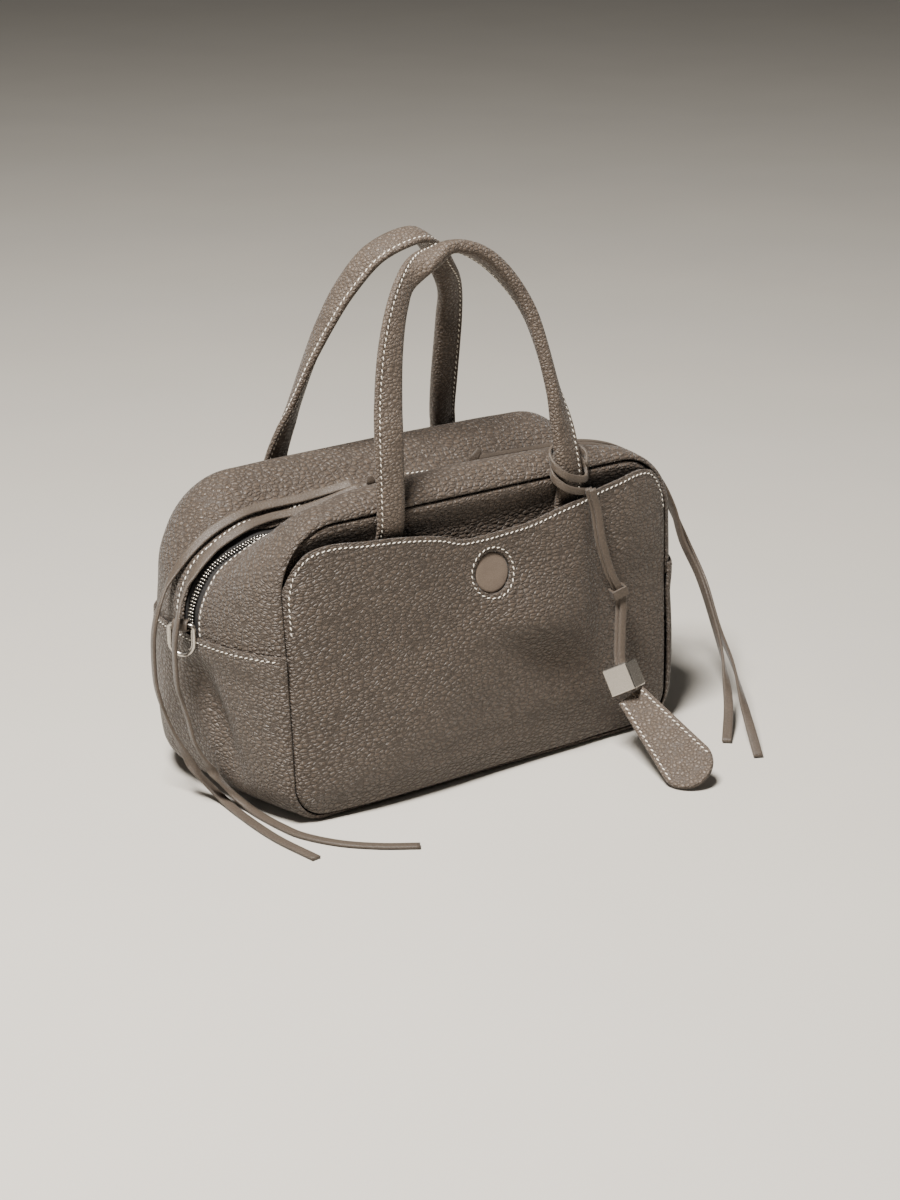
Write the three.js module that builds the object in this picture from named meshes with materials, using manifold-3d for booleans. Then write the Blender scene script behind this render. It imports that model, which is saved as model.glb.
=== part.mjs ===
// Boston bag of soft pebbled leather: a boxy body whose zipped top sags between two rolls, a front
// pocket with a snap disc, two padded handles, lace zip pulls and a leather tag on a thong.
// Millimetres. +X is the bag's right as seen from the front, +Y its back, +Z up. The origin is on the
// floor, under the middle of the base.
import * as THREE from "three";
import { mergeVertices } from "three/addons/utils/BufferGeometryUtils.js";
import Module from "manifold-3d";

const wasm = await Module();
wasm.setup();

// Body sizes
const LENGTH = 284; // between the end seams at the shoulders
const FOOT_TAPER = 4; // the ends lean in by this much in all at the base
const FOOT_LENGTH = LENGTH - FOOT_TAPER;
const HEIGHT = 175; // floor to the top seams
const DEPTH = 140; // front seam to back seam at the base
const FRONT_LEAN = 11; // how far the front panel's top leans in
const BACK_LEAN = 13;
const SHOULDER_LEFT = 41; // corner radii of the outline
const SHOULDER_RIGHT = 35;
const FOOT_RADIUS = 24;
const SEAM_HEIGHT = 102; // end seam between the top and base gussets
const PUFF = 20; // the soft ends stand off the outline by this much
const LEATHER = 2;
const LIP = 3; // radius of the turned edge at a seam
const GAP = 0.3; // between neighbouring pieces
const GROOVE = 2; // between a turned edge and the panel beside it
const SEWN_GAP = 0.7; // between a handle's leg and the panel it is sewn to
const OVERLAP = 7; // the base gusset's turned edge over the top gussets

// Pocket and snap
const POCKET_STAND = 8.5; // how far the pocket's mouth stands off the front seam's plane
const PANEL_SETBACK = 2.6; // the front panel lies this much behind the pocket's edge
const DISC_DIAMETER = 24;
const DISC_RISE = 0.72; // share of the body's height
const DISC_HEIGHT = DISC_RISE * HEIGHT;
const DISC_CLEARANCE = 0.5;

// Zip
const SLOT = 15; // between the two top gussets
const TAPE_WIDTH = 27;
const TAPE_THICKNESS = 0.8;
const CHAIN_WIDTH = 5.5;
const CHAIN_THICKNESS = 1.6;
const SLIDER_AT = 36; // each slider's distance from the middle
const SLIDER_WIDTH = 9;
const SLIDER_LENGTH = 11;
const SLIDER_HEIGHT = 3;
const KNOT_LENGTH = 13;
const KNOT_WIDTH = 9;
const KNOT_HEIGHT = 5.5;

// Handles
const HANDLE_SPREAD = 131; // between the middles of a handle's two legs
const STRAP_WIDTH = 18;
const STRAP_FOLD = 8; // thickness at the folded edge
const FRONT_HANDLE_TOP = 312;
const REAR_HANDLE_TOP = 308;
const LEG_FOOT = 124; // height of the legs' sewn ends

// Laces, rings and tag
const LACE_WIDTH = 6;
const LACE_THICKNESS = 2;
const RING_WIDTH = 18;
const RING_HEIGHT = 21;
const RING_WIRE = 3;
const RING_TURN = 35; // degrees that a ring's face turns from the bag's end towards the front
const RING_STAND = 27; // from the end seams' line out to the ring's bar
const RING_RISE = 8; // the bar's height above the end seam
const TAB_WIDTH = 12;
const TAB_THICKNESS = 1.4;
const THONG_WIDTH = 4.5;
const THONG_THICKNESS = 2;
const KEEPER_WALL = 1.4;
const KEEPER_LENGTH = 6;
const CUBE = 17;
const CUBE_BEVEL = 0.8;
const PADDLE_LENGTH = 75;
const PADDLE_NECK = 18;
const PADDLE_WIDTH = 32;
const PADDLE_THICKNESS = 3.4;
const WIRE_SIDES = 8;

// The outline's places: 0 is the top centre, 1 and 2 are the ends of the shoulder's arc, 3 is the end
// seam, 4 and 5 are the ends of the foot's arc and 6 is the base centre.
// Each row has how far the gusset stands off the outline there, as shares of PUFF, at ACROSS.
const ACROSS = [-1, -0.8, -0.55, -0.28, 0, 0.28, 0.55, 0.8, 1];
const GUSSET_FORM = [
  { place: 0, off: [0, 0.47, 0.35, -0.2, -0.6, -0.45, 0.05, 0.25, 0] },
  { place: 0.75, off: [0, 0.35, 0.2, -0.45, -0.9, -0.7, -0.1, 0.2, 0] },
  { place: 1, off: [0, 0.15, -0.05, -0.7, -1.2, -0.9, -0.2, 0.15, 0] },
  { place: 1.5, off: [0, 0, -0.1, -0.5, -0.85, -0.5, 0, 0.2, 0] },
  { place: 1.75, off: [0, 0.15, 0.15, -0.15, -0.4, -0.1, 0.25, 0.3, 0] },
  { place: 2, off: [0, 0.35, 0.5, 0.5, 0.5, 0.6, 0.7, 0.5, 0] },
  { place: 2.5, off: [0, 0.4, 0.7, 0.85, 0.95, 0.95, 0.85, 0.55, 0] },
  { place: 3, off: [0, 0.4, 0.72, 0.92, 1, 1, 0.9, 0.6, 0] },
  { place: 3.5, off: [0, 0.4, 0.72, 0.85, 0.9, 1, 0.95, 0.65, 0] },
  { place: 4, off: [0, 0.3, 0.55, 0.7, 0.75, 0.8, 0.8, 0.5, 0] },
  { place: 4.5, off: [0, 0.12, 0.22, 0.28, 0.3, 0.32, 0.3, 0.2, 0] },
  { place: 4.75, off: [0, 0.03, 0.05, 0.06, 0.06, 0.06, 0.06, 0.04, 0] },
  { place: 5, off: [0, 0, 0, 0, 0, 0, 0, 0, 0] },
  { place: 6, off: [0, 0, 0, 0, 0, 0, 0, 0, 0] },
];

// Folds of the ends, as grooves (or swells, where the depth is negative) between two points of the
// gusset, each a place and a share across. The depth is a share of PUFF, the breadth a share of LENGTH.
const END_FOLDS = [
  { side: -1, from: [3.15, -0.05], to: [4.2, -0.5], depth: 0.35, breadth: 0.035 },
  { side: 1, from: [3.15, -0.05], to: [4.1, -0.35], depth: 0.3, breadth: 0.035 },
  { side: 1, from: [3.1, -0.6], to: [4.6, -0.6], depth: -0.28, breadth: 0.1 },
];

// The pocket's free edge: shares of half of LENGTH and of HEIGHT.
const MOUTH = [
  { x: -0.975, z: 0.8 },
  { x: -0.927, z: 0.871 },
  { x: -0.861, z: 0.913 },
  { x: -0.754, z: 0.927 },
  { x: -0.618, z: 0.918 },
  { x: -0.439, z: 0.906 },
  { x: -0.246, z: 0.88 },
  { x: -0.148, z: 0.854 },
  { x: -0.042, z: 0.849 },
  { x: 0.056, z: 0.852 },
  { x: 0.211, z: 0.863 },
  { x: 0.373, z: 0.891 },
  { x: 0.533, z: 0.912 },
  { x: 0.676, z: 0.935 },
  { x: 0.8, z: 0.95 },
  { x: 0.88, z: 0.938 },
  { x: 0.93, z: 0.9 },
  { x: 0.962, z: 0.845 },
];

// How far the pocket stands off the front seam's plane, as shares of POCKET_STAND: a row for each
// height (a share of HEIGHT), a column for each of POCKET_X (shares of half of LENGTH).
const POCKET_X = [-1, -0.85, -0.6, -0.3, 0, 0.25, 0.45, 0.57, 0.72, 0.88, 1];
const POCKET_FORM = [
  { z: 0, stand: [0, 0.2, 0.5, 0.5, 0.4, 0.3, 0.3, 0.2, 0.2, 0.1, 0] },
  { z: 0.12, stand: [0, 0.6, 1.2, 1.3, 1, 0.8, 0.7, 0.6, 0.5, 0.3, 0] },
  { z: 0.35, stand: [0, 0.6, 1.1, 1.3, 1.3, 1.3, 1.2, 0.9, 0.6, 0.4, 0] },
  { z: 0.55, stand: [0, 0.6, 1.0, 1.1, 1.5, 1.8, 1.5, 0.8, 0.6, 0.4, 0] },
  { z: 0.72, stand: [0, 0.7, 1.0, 1.1, 1.0, 1.3, 1.3, 0.7, 0.9, 0.6, 0] },
  { z: 0.88, stand: [0, 0.6, 1.0, 1.1, 1.0, 1.1, 1.2, 0.9, 1, 0.6, 0] },
  { z: 1, stand: [0, 0.5, 1.0, 1.1, 1.0, 1.1, 1.1, 1, 0.9, 0.5, 0] },
];

const BACK_PUFF = 9; // the back panel's middle stands off the back seam's plane by this much

// Small helpers
const lerp = THREE.MathUtils.lerp;
const clamp = THREE.MathUtils.clamp;
const smoothstep = THREE.MathUtils.smoothstep;
const vec = (x, y, z) => new THREE.Vector3(x, y, z);

// A smooth curve through the points (xs, ys), read at x.
function curveThrough(xs, ys, x) {
  const at = clamp(x, xs[0], xs[xs.length - 1]);
  let i = 0;
  while (i < xs.length - 2 && at > xs[i + 1]) i += 1;
  const slope = (k) => {
    const a = Math.max(0, k - 1);
    const b = Math.min(xs.length - 1, k + 1);
    return (ys[b] - ys[a]) / (xs[b] - xs[a]);
  };
  const h = xs[i + 1] - xs[i];
  const t = (at - xs[i]) / h;
  const start = ys[i] * (1 + 2 * t) * (1 - t) ** 2 + slope(i) * h * t * (1 - t) ** 2;
  const end = ys[i + 1] * t * t * (3 - 2 * t) + slope(i + 1) * h * t * t * (t - 1);
  return start + end;
}

// Numbers from a to b in n even steps.
function steps(a, b, n) {
  return Array.from({ length: n + 1 }, (_, i) => lerp(a, b, i / n));
}

// The outline seen from the front
// Half of it, from the top centre round to the base centre, on one side.
function halfOutline(shoulder) {
  const path = new THREE.Path();
  path.moveTo(0, HEIGHT);
  path.lineTo(LENGTH / 2 - shoulder, HEIGHT);
  path.absarc(LENGTH / 2 - shoulder, HEIGHT - shoulder, shoulder, Math.PI / 2, 0, true);
  path.lineTo(FOOT_LENGTH / 2, FOOT_RADIUS);
  path.absarc(FOOT_LENGTH / 2 - FOOT_RADIUS, FOOT_RADIUS, FOOT_RADIUS, 0, -Math.PI / 2, true);
  path.lineTo(0, 0);
  const lengths = path.getCurveLengths();
  const seamShare = (HEIGHT - shoulder - SEAM_HEIGHT) / (HEIGHT - shoulder - FOOT_RADIUS);
  const seam = lerp(lengths[1], lengths[2], seamShare);
  return { path, knots: [0, lengths[0], lengths[1], seam, lengths[2], lengths[3], lengths[4]] };
}
const OUTLINE = { "-1": halfOutline(SHOULDER_LEFT), 1: halfOutline(SHOULDER_RIGHT) };

// The distance along the outline to a place, on one side.
function distanceTo(side, place) {
  const { knots } = OUTLINE[side];
  const i = Math.min(5, Math.floor(place));
  return lerp(knots[i], knots[i + 1], place - i);
}

// The place that lies a length in millimetres further round from another one.
function further(side, place, length) {
  const { knots } = OUTLINE[side];
  const at = distanceTo(side, place) + length;
  const i = clamp(knots.findIndex((k) => k > at) - 1, 0, 5);
  return i + (at - knots[i]) / (knots[i + 1] - knots[i]);
}

// The outline's point and outward direction at a place. Positive places are on the right.
function outlineAt(place) {
  const side = place < 0 ? -1 : 1;
  const { path, knots } = OUTLINE[side];
  const share = distanceTo(side, Math.abs(place)) / knots[6];
  const nudge = 0.0015;
  const p = path.getPoint(share);
  const a = path.getPoint(Math.max(0, share - nudge));
  const b = path.getPoint(Math.min(1, share + nudge));
  const along = b.clone().sub(a).normalize();
  const level = share < nudge || share > 1 - nudge;
  const out = level ? new THREE.Vector2(0, share < 0.5 ? 1 : -1) : new THREE.Vector2(-along.y, along.x);
  return { x: side * p.x, z: p.y, outX: side * out.x, outZ: out.y };
}

const frontSeamY = (z) => -DEPTH / 2 + FRONT_LEAN * clamp(z / HEIGHT, 0, 1) ** 1.5;
const backSeamY = (z) => DEPTH / 2 - BACK_LEAN * clamp(z / HEIGHT, 0, 1) ** 1.5;

// The turned edge at a seam: how far the surface has curled away at a distance from the seam.
function curl(distance) {
  return distance >= LIP ? 0 : LIP - Math.sqrt(LIP ** 2 - (LIP - Math.max(0, distance)) ** 2);
}

// How far the gusset stands off the outline, from the form table and the end folds.
function gussetOff(place, across) {
  const side = place < 0 ? -1 : 1;
  const at = distanceTo(side, Math.abs(place));
  const knots = GUSSET_FORM.map((row) => distanceTo(side, row.place));
  const column = GUSSET_FORM.map((row) => curveThrough(ACROSS, row.off, across));
  let off = PUFF * curveThrough(knots, column, at);
  for (const fold of END_FOLDS) {
    if (fold.side !== side) continue;
    const onSkin = ([end, share]) => new THREE.Vector2(distanceTo(side, end), (share * DEPTH) / 2);
    const from = onSkin(fold.from);
    const to = onSkin(fold.to);
    const here = new THREE.Vector2(at, (across * DEPTH) / 2);
    const run = to.clone().sub(from);
    const t = clamp(here.clone().sub(from).dot(run) / run.lengthSq(), 0, 1);
    const away = here.distanceTo(from.add(run.multiplyScalar(t)));
    const breadth = fold.breadth * LENGTH;
    const fade = Math.sin(Math.PI * t);
    off -= PUFF * fold.depth * fade * Math.exp(-((away / breadth) ** 2));
  }
  return off;
}

// A point of the gusset's skin: place along the outline, y across it.
function skinPoint(place, y) {
  const o = outlineAt(place);
  const front = frontSeamY(o.z);
  const back = backSeamY(o.z);
  const across = clamp(((y - front) / (back - front)) * 2 - 1, -1, 1);
  const off = gussetOff(place, across) - curl(y - front) - curl(back - y);
  return vec(o.x + o.outX * off, y, o.z + o.outZ * off);
}

// The same, lifted off the skin squarely to it.
function gussetPoint(place, y, lift = 0) {
  const p = skinPoint(place, y);
  if (lift === 0) return p;
  const step = place > 5.9 ? -0.02 : 0.02;
  const along = skinPoint(place + step, y).sub(p).multiplyScalar(Math.sign(step));
  const over = skinPoint(place, y + 0.5).sub(skinPoint(place, y - 0.5));
  return p.addScaledVector(along.cross(over).normalize(), lift);
}

// Closed solids
// A geometry from points and triangles of their numbers.
function geometryOf(points, faces) {
  const g = new THREE.BufferGeometry();
  g.setAttribute("position", new THREE.Float32BufferAttribute(points.flatMap((p) => p.toArray()), 3));
  g.setIndex(faces.flat());
  g.computeVertexNormals();
  return g;
}

// A closed sheet: rows of points on its outer face, and its thickness, which goes inward.
function sheet(rows, thickness, flip = false) {
  const n = rows.length;
  const m = rows[0].length;
  const at = (i, j) => i * m + j;
  const quads = [];
  for (let i = 0; i < n - 1; i += 1)
    for (let j = 0; j < m - 1; j += 1)
      quads.push([at(i, j), at(i + 1, j), at(i + 1, j + 1), at(i, j + 1)]);
  const turned = flip ? quads.map((q) => [...q].reverse()) : quads;
  const outer = rows.flat();
  const faces = turned.flatMap(([a, b, c, d]) => [[a, b, c], [a, c, d]]);
  const normals = outer.map(() => vec(0, 0, 0));
  for (const [a, b, c] of faces) {
    const cross = outer[b].clone().sub(outer[a]).cross(outer[c].clone().sub(outer[a]));
    for (const k of [a, b, c]) normals[k].add(cross);
  }
  const inner = outer.map((p, k) => p.clone().addScaledVector(normals[k].normalize(), -thickness));
  const count = outer.length;
  const inside = faces.map(([a, b, c]) => [a + count, c + count, b + count]);
  const border = [];
  for (let j = 0; j < m - 1; j += 1) border.push(at(0, j));
  for (let i = 0; i < n - 1; i += 1) border.push(at(i, m - 1));
  for (let j = m - 1; j > 0; j -= 1) border.push(at(n - 1, j));
  for (let i = n - 1; i > 0; i -= 1) border.push(at(i, 0));
  const ring = flip ? border.reverse() : border;
  const rim = ring.flatMap((a, k) => {
    const b = ring[(k + 1) % ring.length];
    return [[a, b, b + count], [a, b + count, a + count]];
  });
  return geometryOf([...outer, ...inner], [...faces, ...inside, ...rim]);
}

// A solid through rings of points, each as long as the next, open with flat ends or closed on itself.
function loft(rings, closed = false) {
  const m = rings[0].length;
  const faces = [];
  const last = closed ? rings.length : rings.length - 1;
  for (let i = 0; i < last; i += 1)
    for (let j = 0; j < m; j += 1) {
      const a = i * m + j;
      const b = i * m + ((j + 1) % m);
      const c = ((i + 1) % rings.length) * m + ((j + 1) % m);
      const d = ((i + 1) % rings.length) * m + j;
      faces.push([a, b, c], [a, c, d]);
    }
  if (!closed)
    for (let j = 1; j < m - 1; j += 1) {
      const end = (rings.length - 1) * m;
      faces.push([0, j + 1, j], [end, end + j, end + j + 1]);
    }
  return geometryOf(rings.flat(), faces);
}

// A curve for a flat strap: the broad side faces the way that facing(share) gives.
class StrapCurve extends THREE.CatmullRomCurve3 {
  constructor(points, facing) {
    super(points, false, "centripetal");
    this.facing = facing;
  }

  computeFrenetFrames(segments) {
    const tangents = steps(0, 1, segments).map((u) => this.getTangentAt(u));
    const binormals = tangents.map((t, i) => {
      const face = this.facing(i / segments, this.getPointAt(i / segments)).clone();
      return face.addScaledVector(t, -face.dot(t)).normalize();
    });
    const normals = tangents.map((t, i) => binormals[i].clone().cross(t));
    return { tangents, normals, binormals };
  }
}

// A flat strap with bevelled edges along a curve: eight sides.
function strap(curve, width, thickness, count) {
  const w = width / 2;
  const t = thickness / 2;
  const edge = Math.min(w, t) * 0.6;
  const outline = [
    [w, -t + edge], [w, t - edge], [w - edge, t], [edge - w, t],
    [-w, t - edge], [-w, edge - t], [edge - w, -t], [w - edge, -t],
  ].map(([x, y]) => new THREE.Vector2(x, y));
  return new THREE.ExtrudeGeometry(new THREE.Shape(outline), { steps: count, extrudePath: curve });
}

// A solid for joining and cutting, and its geometry back again.
function solidOf(geometry) {
  const bare = geometry.clone();
  bare.deleteAttribute("normal");
  if (bare.getAttribute("uv")) bare.deleteAttribute("uv");
  const merged = mergeVertices(bare, 1e-3);
  const vertProperties = merged.attributes.position.array;
  const triVerts = new Uint32Array(merged.index.array);
  return new wasm.Manifold(new wasm.Mesh({ numProp: 3, vertProperties, triVerts }));
}

function geometryFrom(solid) {
  const mesh = solid.getMesh();
  const g = new THREE.BufferGeometry();
  g.setAttribute("position", new THREE.BufferAttribute(mesh.vertProperties, 3));
  g.setIndex(new THREE.BufferAttribute(mesh.triVerts, 1));
  g.computeVertexNormals();
  return g;
}

// Materials
const leather = new THREE.MeshStandardMaterial({ color: 0x7b6f63, roughness: 0.55, metalness: 0 });
const smoothLeather = new THREE.MeshStandardMaterial({ color: 0x776b60, roughness: 0.6, metalness: 0 });
const tapeCloth = new THREE.MeshStandardMaterial({ color: 0x1d1b1a, roughness: 0.9, metalness: 0 });
const zipMetal = new THREE.MeshStandardMaterial({ color: 0xb9b6b0, roughness: 0.3, metalness: 1 });
const nickel = new THREE.MeshStandardMaterial({ color: 0xa9a39a, roughness: 0.35, metalness: 1 });

const bag = new THREE.Group();

function add(name, geometry, material) {
  const mesh = new THREE.Mesh(geometry, material);
  mesh.name = name;
  bag.add(mesh);
  return mesh;
}

// Gussets
// Places from the left round the top, or round the base, to the right, from a list for one side.
function bothSides(placesOf, middle) {
  return [...placesOf(-1).map((p) => -p), middle, ...placesOf(1).reverse()];
}

// The columns of a gusset, from its seam past the zip tape's edge to the edge of the zip slot. A tucked
// edge starts behind the turned one.
function columnsTo(seam, slotEdge, tucked = false) {
  const inward = Math.sign(slotEdge - seam);
  const lips = (tucked ? [1.15, 1.3, 1.5] : [0, 0.3, 1]).map((share) => seam + inward * LIP * share);
  const tapeEdge = (Math.sign(slotEdge) * TAPE_WIDTH) / 2;
  return [...lips, ...steps(seam + inward * LIP, tapeEdge, 4).slice(1), slotEdge];
}

const ARC = [1.86, 1.68, 1.45, 1.22, 1];
const TOP_PLACES = [2.5, 2, ...ARC, 0.75, 0.5, 0.25];

// Under the base gusset's turned edge the top gussets and the zip tape run on, tucked in.
const covered = (end) => further(end, 3, -OVERLAP / 3);
const topEnd = (end) => [further(end, 3, OVERLAP - 1), covered(end), further(end, 3, -OVERLAP)];
const topPlaces = (end) => [...topEnd(end), ...TOP_PLACES];

function topGusset(side) {
  const rows = bothSides(topPlaces, 0).map((place) => {
    const { z } = outlineAt(place);
    const tucked = Math.abs(place) > covered(place < 0 ? -1 : 1) - 0.001;
    const seam = side < 0 ? frontSeamY(z) : backSeamY(z);
    return columnsTo(seam, (side * SLOT) / 2, tucked).map((y) => gussetPoint(place, y));
  });
  return sheet(rows, LEATHER, side > 0);
}
add("top_gusset_front", topGusset(-1), leather);
add("top_gusset_back", topGusset(1), leather);

function baseGusset() {
  const raised = LEATHER + GAP;
  const foot = [3.65, 4, ...ARC.map((p) => 6 - p), 5.5];
  const edge = (side) => [-1, 3, OVERLAP + 1].map((length) => further(side, 3, length));
  const placesOf = (side) => [...edge(side), further(side, 3, OVERLAP + 6), ...foot];
  const rows = bothSides(placesOf, 6).map((place) => {
    const side = place < 0 ? -1 : 1;
    const { z } = outlineAt(place);
    const front = columnsTo(frontSeamY(z), -SLOT / 2);
    const back = columnsTo(backSeamY(z), SLOT / 2);
    const lift = Math.abs(place) < edge(side)[2] + 0.001 ? raised : 0;
    return [...front, ...back.reverse()].map((y) => gussetPoint(place, y, lift));
  });
  return sheet(rows, LEATHER, true);
}
add("base_gusset", baseGusset(), leather);

// Zip
function zipStrip(columns, places, thickness, lift) {
  const rows = bothSides(places, 0).map((place) => columns.map((y) => gussetPoint(place, y, lift)));
  return sheet(rows, thickness);
}
const tapeLift = -LEATHER - 2 * GAP;
const chainLift = tapeLift + 2 * GAP + CHAIN_THICKNESS;
const half = [CHAIN_WIDTH / 2, SLOT / 2, TAPE_WIDTH / 2];
const chainPlaces = (end) => [further(end, 3, -2 * OVERLAP), ...TOP_PLACES];
const tapeColumns = [-half[2], -half[1], -half[0], ...half];
const chainColumns = [-half[0], half[0]];
add("zip_tape", zipStrip(tapeColumns, topPlaces, TAPE_THICKNESS, tapeLift), tapeCloth);
add("zip_chain", zipStrip(chainColumns, chainPlaces, CHAIN_THICKNESS, chainLift), zipMetal);

// A frame on the zip chain at a slider: its middle and the chain's slope there.
function sliderFrame(side) {
  const lift = chainLift + 2 * GAP;
  const a = gussetPoint(side * 0.25, 0, lift);
  const b = gussetPoint(side * 0.5, 0, lift);
  const at = a.clone().lerp(b, (SLIDER_AT - Math.abs(a.x)) / Math.abs(b.x - a.x));
  return { at, slope: Math.atan2(b.z - a.z, b.x - a.x) + (side < 0 ? Math.PI : 0) };
}

// A slider: a plate with the bridge that holds the lace.
function slider(side) {
  const plate = new THREE.BoxGeometry(SLIDER_LENGTH, SLIDER_WIDTH, SLIDER_HEIGHT / 2);
  plate.translate(0, 0, SLIDER_HEIGHT / 4);
  const bridge = new THREE.BoxGeometry(SLIDER_LENGTH * 0.6, SLIDER_WIDTH / 3, SLIDER_HEIGHT * 0.6);
  bridge.translate(0, 0, SLIDER_HEIGHT * 0.7);
  const { at, slope } = sliderFrame(side);
  return geometryFrom(solidOf(plate).add(solidOf(bridge))).rotateY(-slope).translate(at.x, at.y, at.z);
}

// The laces' knot over a slider.
function knot(side) {
  const { at } = sliderFrame(side);
  const ball = new THREE.SphereGeometry(0.5, 10, 6).rotateX(Math.PI / 2);
  const g = ball.scale(KNOT_LENGTH, KNOT_WIDTH, KNOT_HEIGHT);
  return g.translate(at.x, at.y, at.z + SLIDER_HEIGHT + GAP + KNOT_HEIGHT / 2);
}
add("zip_slider_left", slider(-1), nickel);
add("zip_slider_right", slider(1), nickel);
add("lace_knot_left", knot(-1), leather);
add("lace_knot_right", knot(1), leather);

// Panels
// The panels' edge follows the outline, inside the gussets' turned edge.
const INSET = LIP + GROOVE;

// The outline's point at a place, moved inward.
function insetPoint(place) {
  const o = outlineAt(place);
  return new THREE.Vector2(o.x - o.outX * INSET, o.z - o.outZ * INSET);
}

// The shortest way from a point to the panels' edge.
const EDGE = steps(-6, 6, 480).map(insetPoint);
function edgeDistance(x, z) {
  return Math.min(...EDGE.map((p) => Math.hypot(p.x - x, p.y - z)));
}

// The panels' columns: each has a place on the top line and one on the foot line.
const PLACES = [0.25, 0.5, 0.75, ...[...ARC].reverse(), 2];
const COLUMNS = [...PLACES.map((p) => -p).reverse(), 0, ...PLACES];
const FINE_PLACES = [0.12, 0.25, 0.37, 0.5, 0.62, 0.75, 0.87, ...[...ARC].reverse(), 2];
const FINE_COLUMNS = [...FINE_PLACES.map((p) => -p).reverse(), 0, ...FINE_PLACES];
const footPoint = (column) => insetPoint((column < 0 ? -1 : 1) * (6 - Math.abs(column)));

// A panel from its foot line up to its top line; depthAt gives y at (x, z).
function panel(top, foot, rowShares, depthAt, flip) {
  const rows = rowShares.map((share) =>
    top.map((t, i) => {
      const p = foot[i].clone().lerp(t, share);
      return vec(p.x, depthAt(p.x, p.y), p.y);
    }),
  );
  return sheet(rows, LEATHER, flip);
}

const ROW_SHARES = [0, 0.006, 0.02, 0.25, 0.55, 0.86, 0.93, 0.98, 0.994, 1];
const topEdge = COLUMNS.map(insetPoint);
const footEdge = COLUMNS.map(footPoint);

function frontPanelY(x, z) {
  const shown = smoothstep(z, HEIGHT * 0.86, HEIGHT * 0.97);
  return frontSeamY(z) + (LEATHER + PANEL_SETBACK) * (1 - shown) + curl(edgeDistance(x, z));
}
add("front_panel", panel(topEdge, footEdge, ROW_SHARES, frontPanelY, true), leather);

function backPanelY(x, z) {
  const share = edgeDistance(x, z) / (HEIGHT / 2);
  return backSeamY(z) + BACK_PUFF * Math.sin((Math.PI / 2) * Math.min(1, share)) - curl(edgeDistance(x, z));
}
add("back_panel", panel(topEdge, footEdge, ROW_SHARES, backPanelY, false), leather);

// The pocket's mouth line; down its sides the pocket ends at the panels' edge.
const mouthXs = MOUTH.map((m) => (m.x * LENGTH) / 2);
const mouthZs = MOUTH.map((m) => m.z * HEIGHT);
const mouthLine = FINE_COLUMNS.map((column, i) => {
  if (Math.abs(column) === 2) return insetPoint(column);
  const x = lerp(mouthXs[0], mouthXs[mouthXs.length - 1], (i - 1) / (FINE_COLUMNS.length - 3));
  return new THREE.Vector2(x, curveThrough(mouthXs, mouthZs, x));
});

function pocketY(x, z) {
  const stand = POCKET_FORM.map((row) => curveThrough(POCKET_X, row.stand, (2 * x) / LENGTH));
  const heights = POCKET_FORM.map((row) => row.z);
  return frontSeamY(z) - POCKET_STAND * curveThrough(heights, stand, z / HEIGHT) + curl(edgeDistance(x, z));
}
const POCKET_ROWS = [0, 0.007, 0.022, 0.1, 0.22, 0.34, 0.46, 0.58, 0.7, 0.82, 0.92, 1];
const pocketSheet = panel(mouthLine, FINE_COLUMNS.map(footPoint), POCKET_ROWS, pocketY, true);

// The snap's disc lies in a round cut-out of the pocket, square to the leather there.
const discFace = vec(0, pocketY(0, DISC_HEIGHT), DISC_HEIGHT);
const discSlope = Math.atan2(pocketY(0, DISC_HEIGHT + 9) - pocketY(0, DISC_HEIGHT - 9), 18);
function discBody(radius, depth, proud) {
  const g = new THREE.CylinderGeometry(radius, radius, depth, 24);
  g.translate(0, depth / 2 - proud, 0);
  g.rotateX(-discSlope);
  g.translate(discFace.x, discFace.y, discFace.z);
  return g;
}
const cutter = discBody(DISC_DIAMETER / 2 + DISC_CLEARANCE, 6 * LEATHER, 3 * LEATHER);
add("pocket_panel", geometryFrom(solidOf(pocketSheet).subtract(solidOf(cutter))), leather);
add("snap_disc", discBody(DISC_DIAMETER / 2, LEATHER, 0), smoothLeather);

// Handles
// The strap's section, as shares of its width and of half its thicknesses: folded edge to sewn edge.
const STRAP_SECTION = [
  { w: -0.5, n: 0 },
  { w: -0.44, n: 0.75 },
  { w: -0.28, n: 1 },
  { w: 0.08, n: 0.85 },
  { w: 0.32, n: 0.46 },
  { w: 0.5, n: 0.45 },
];

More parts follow.
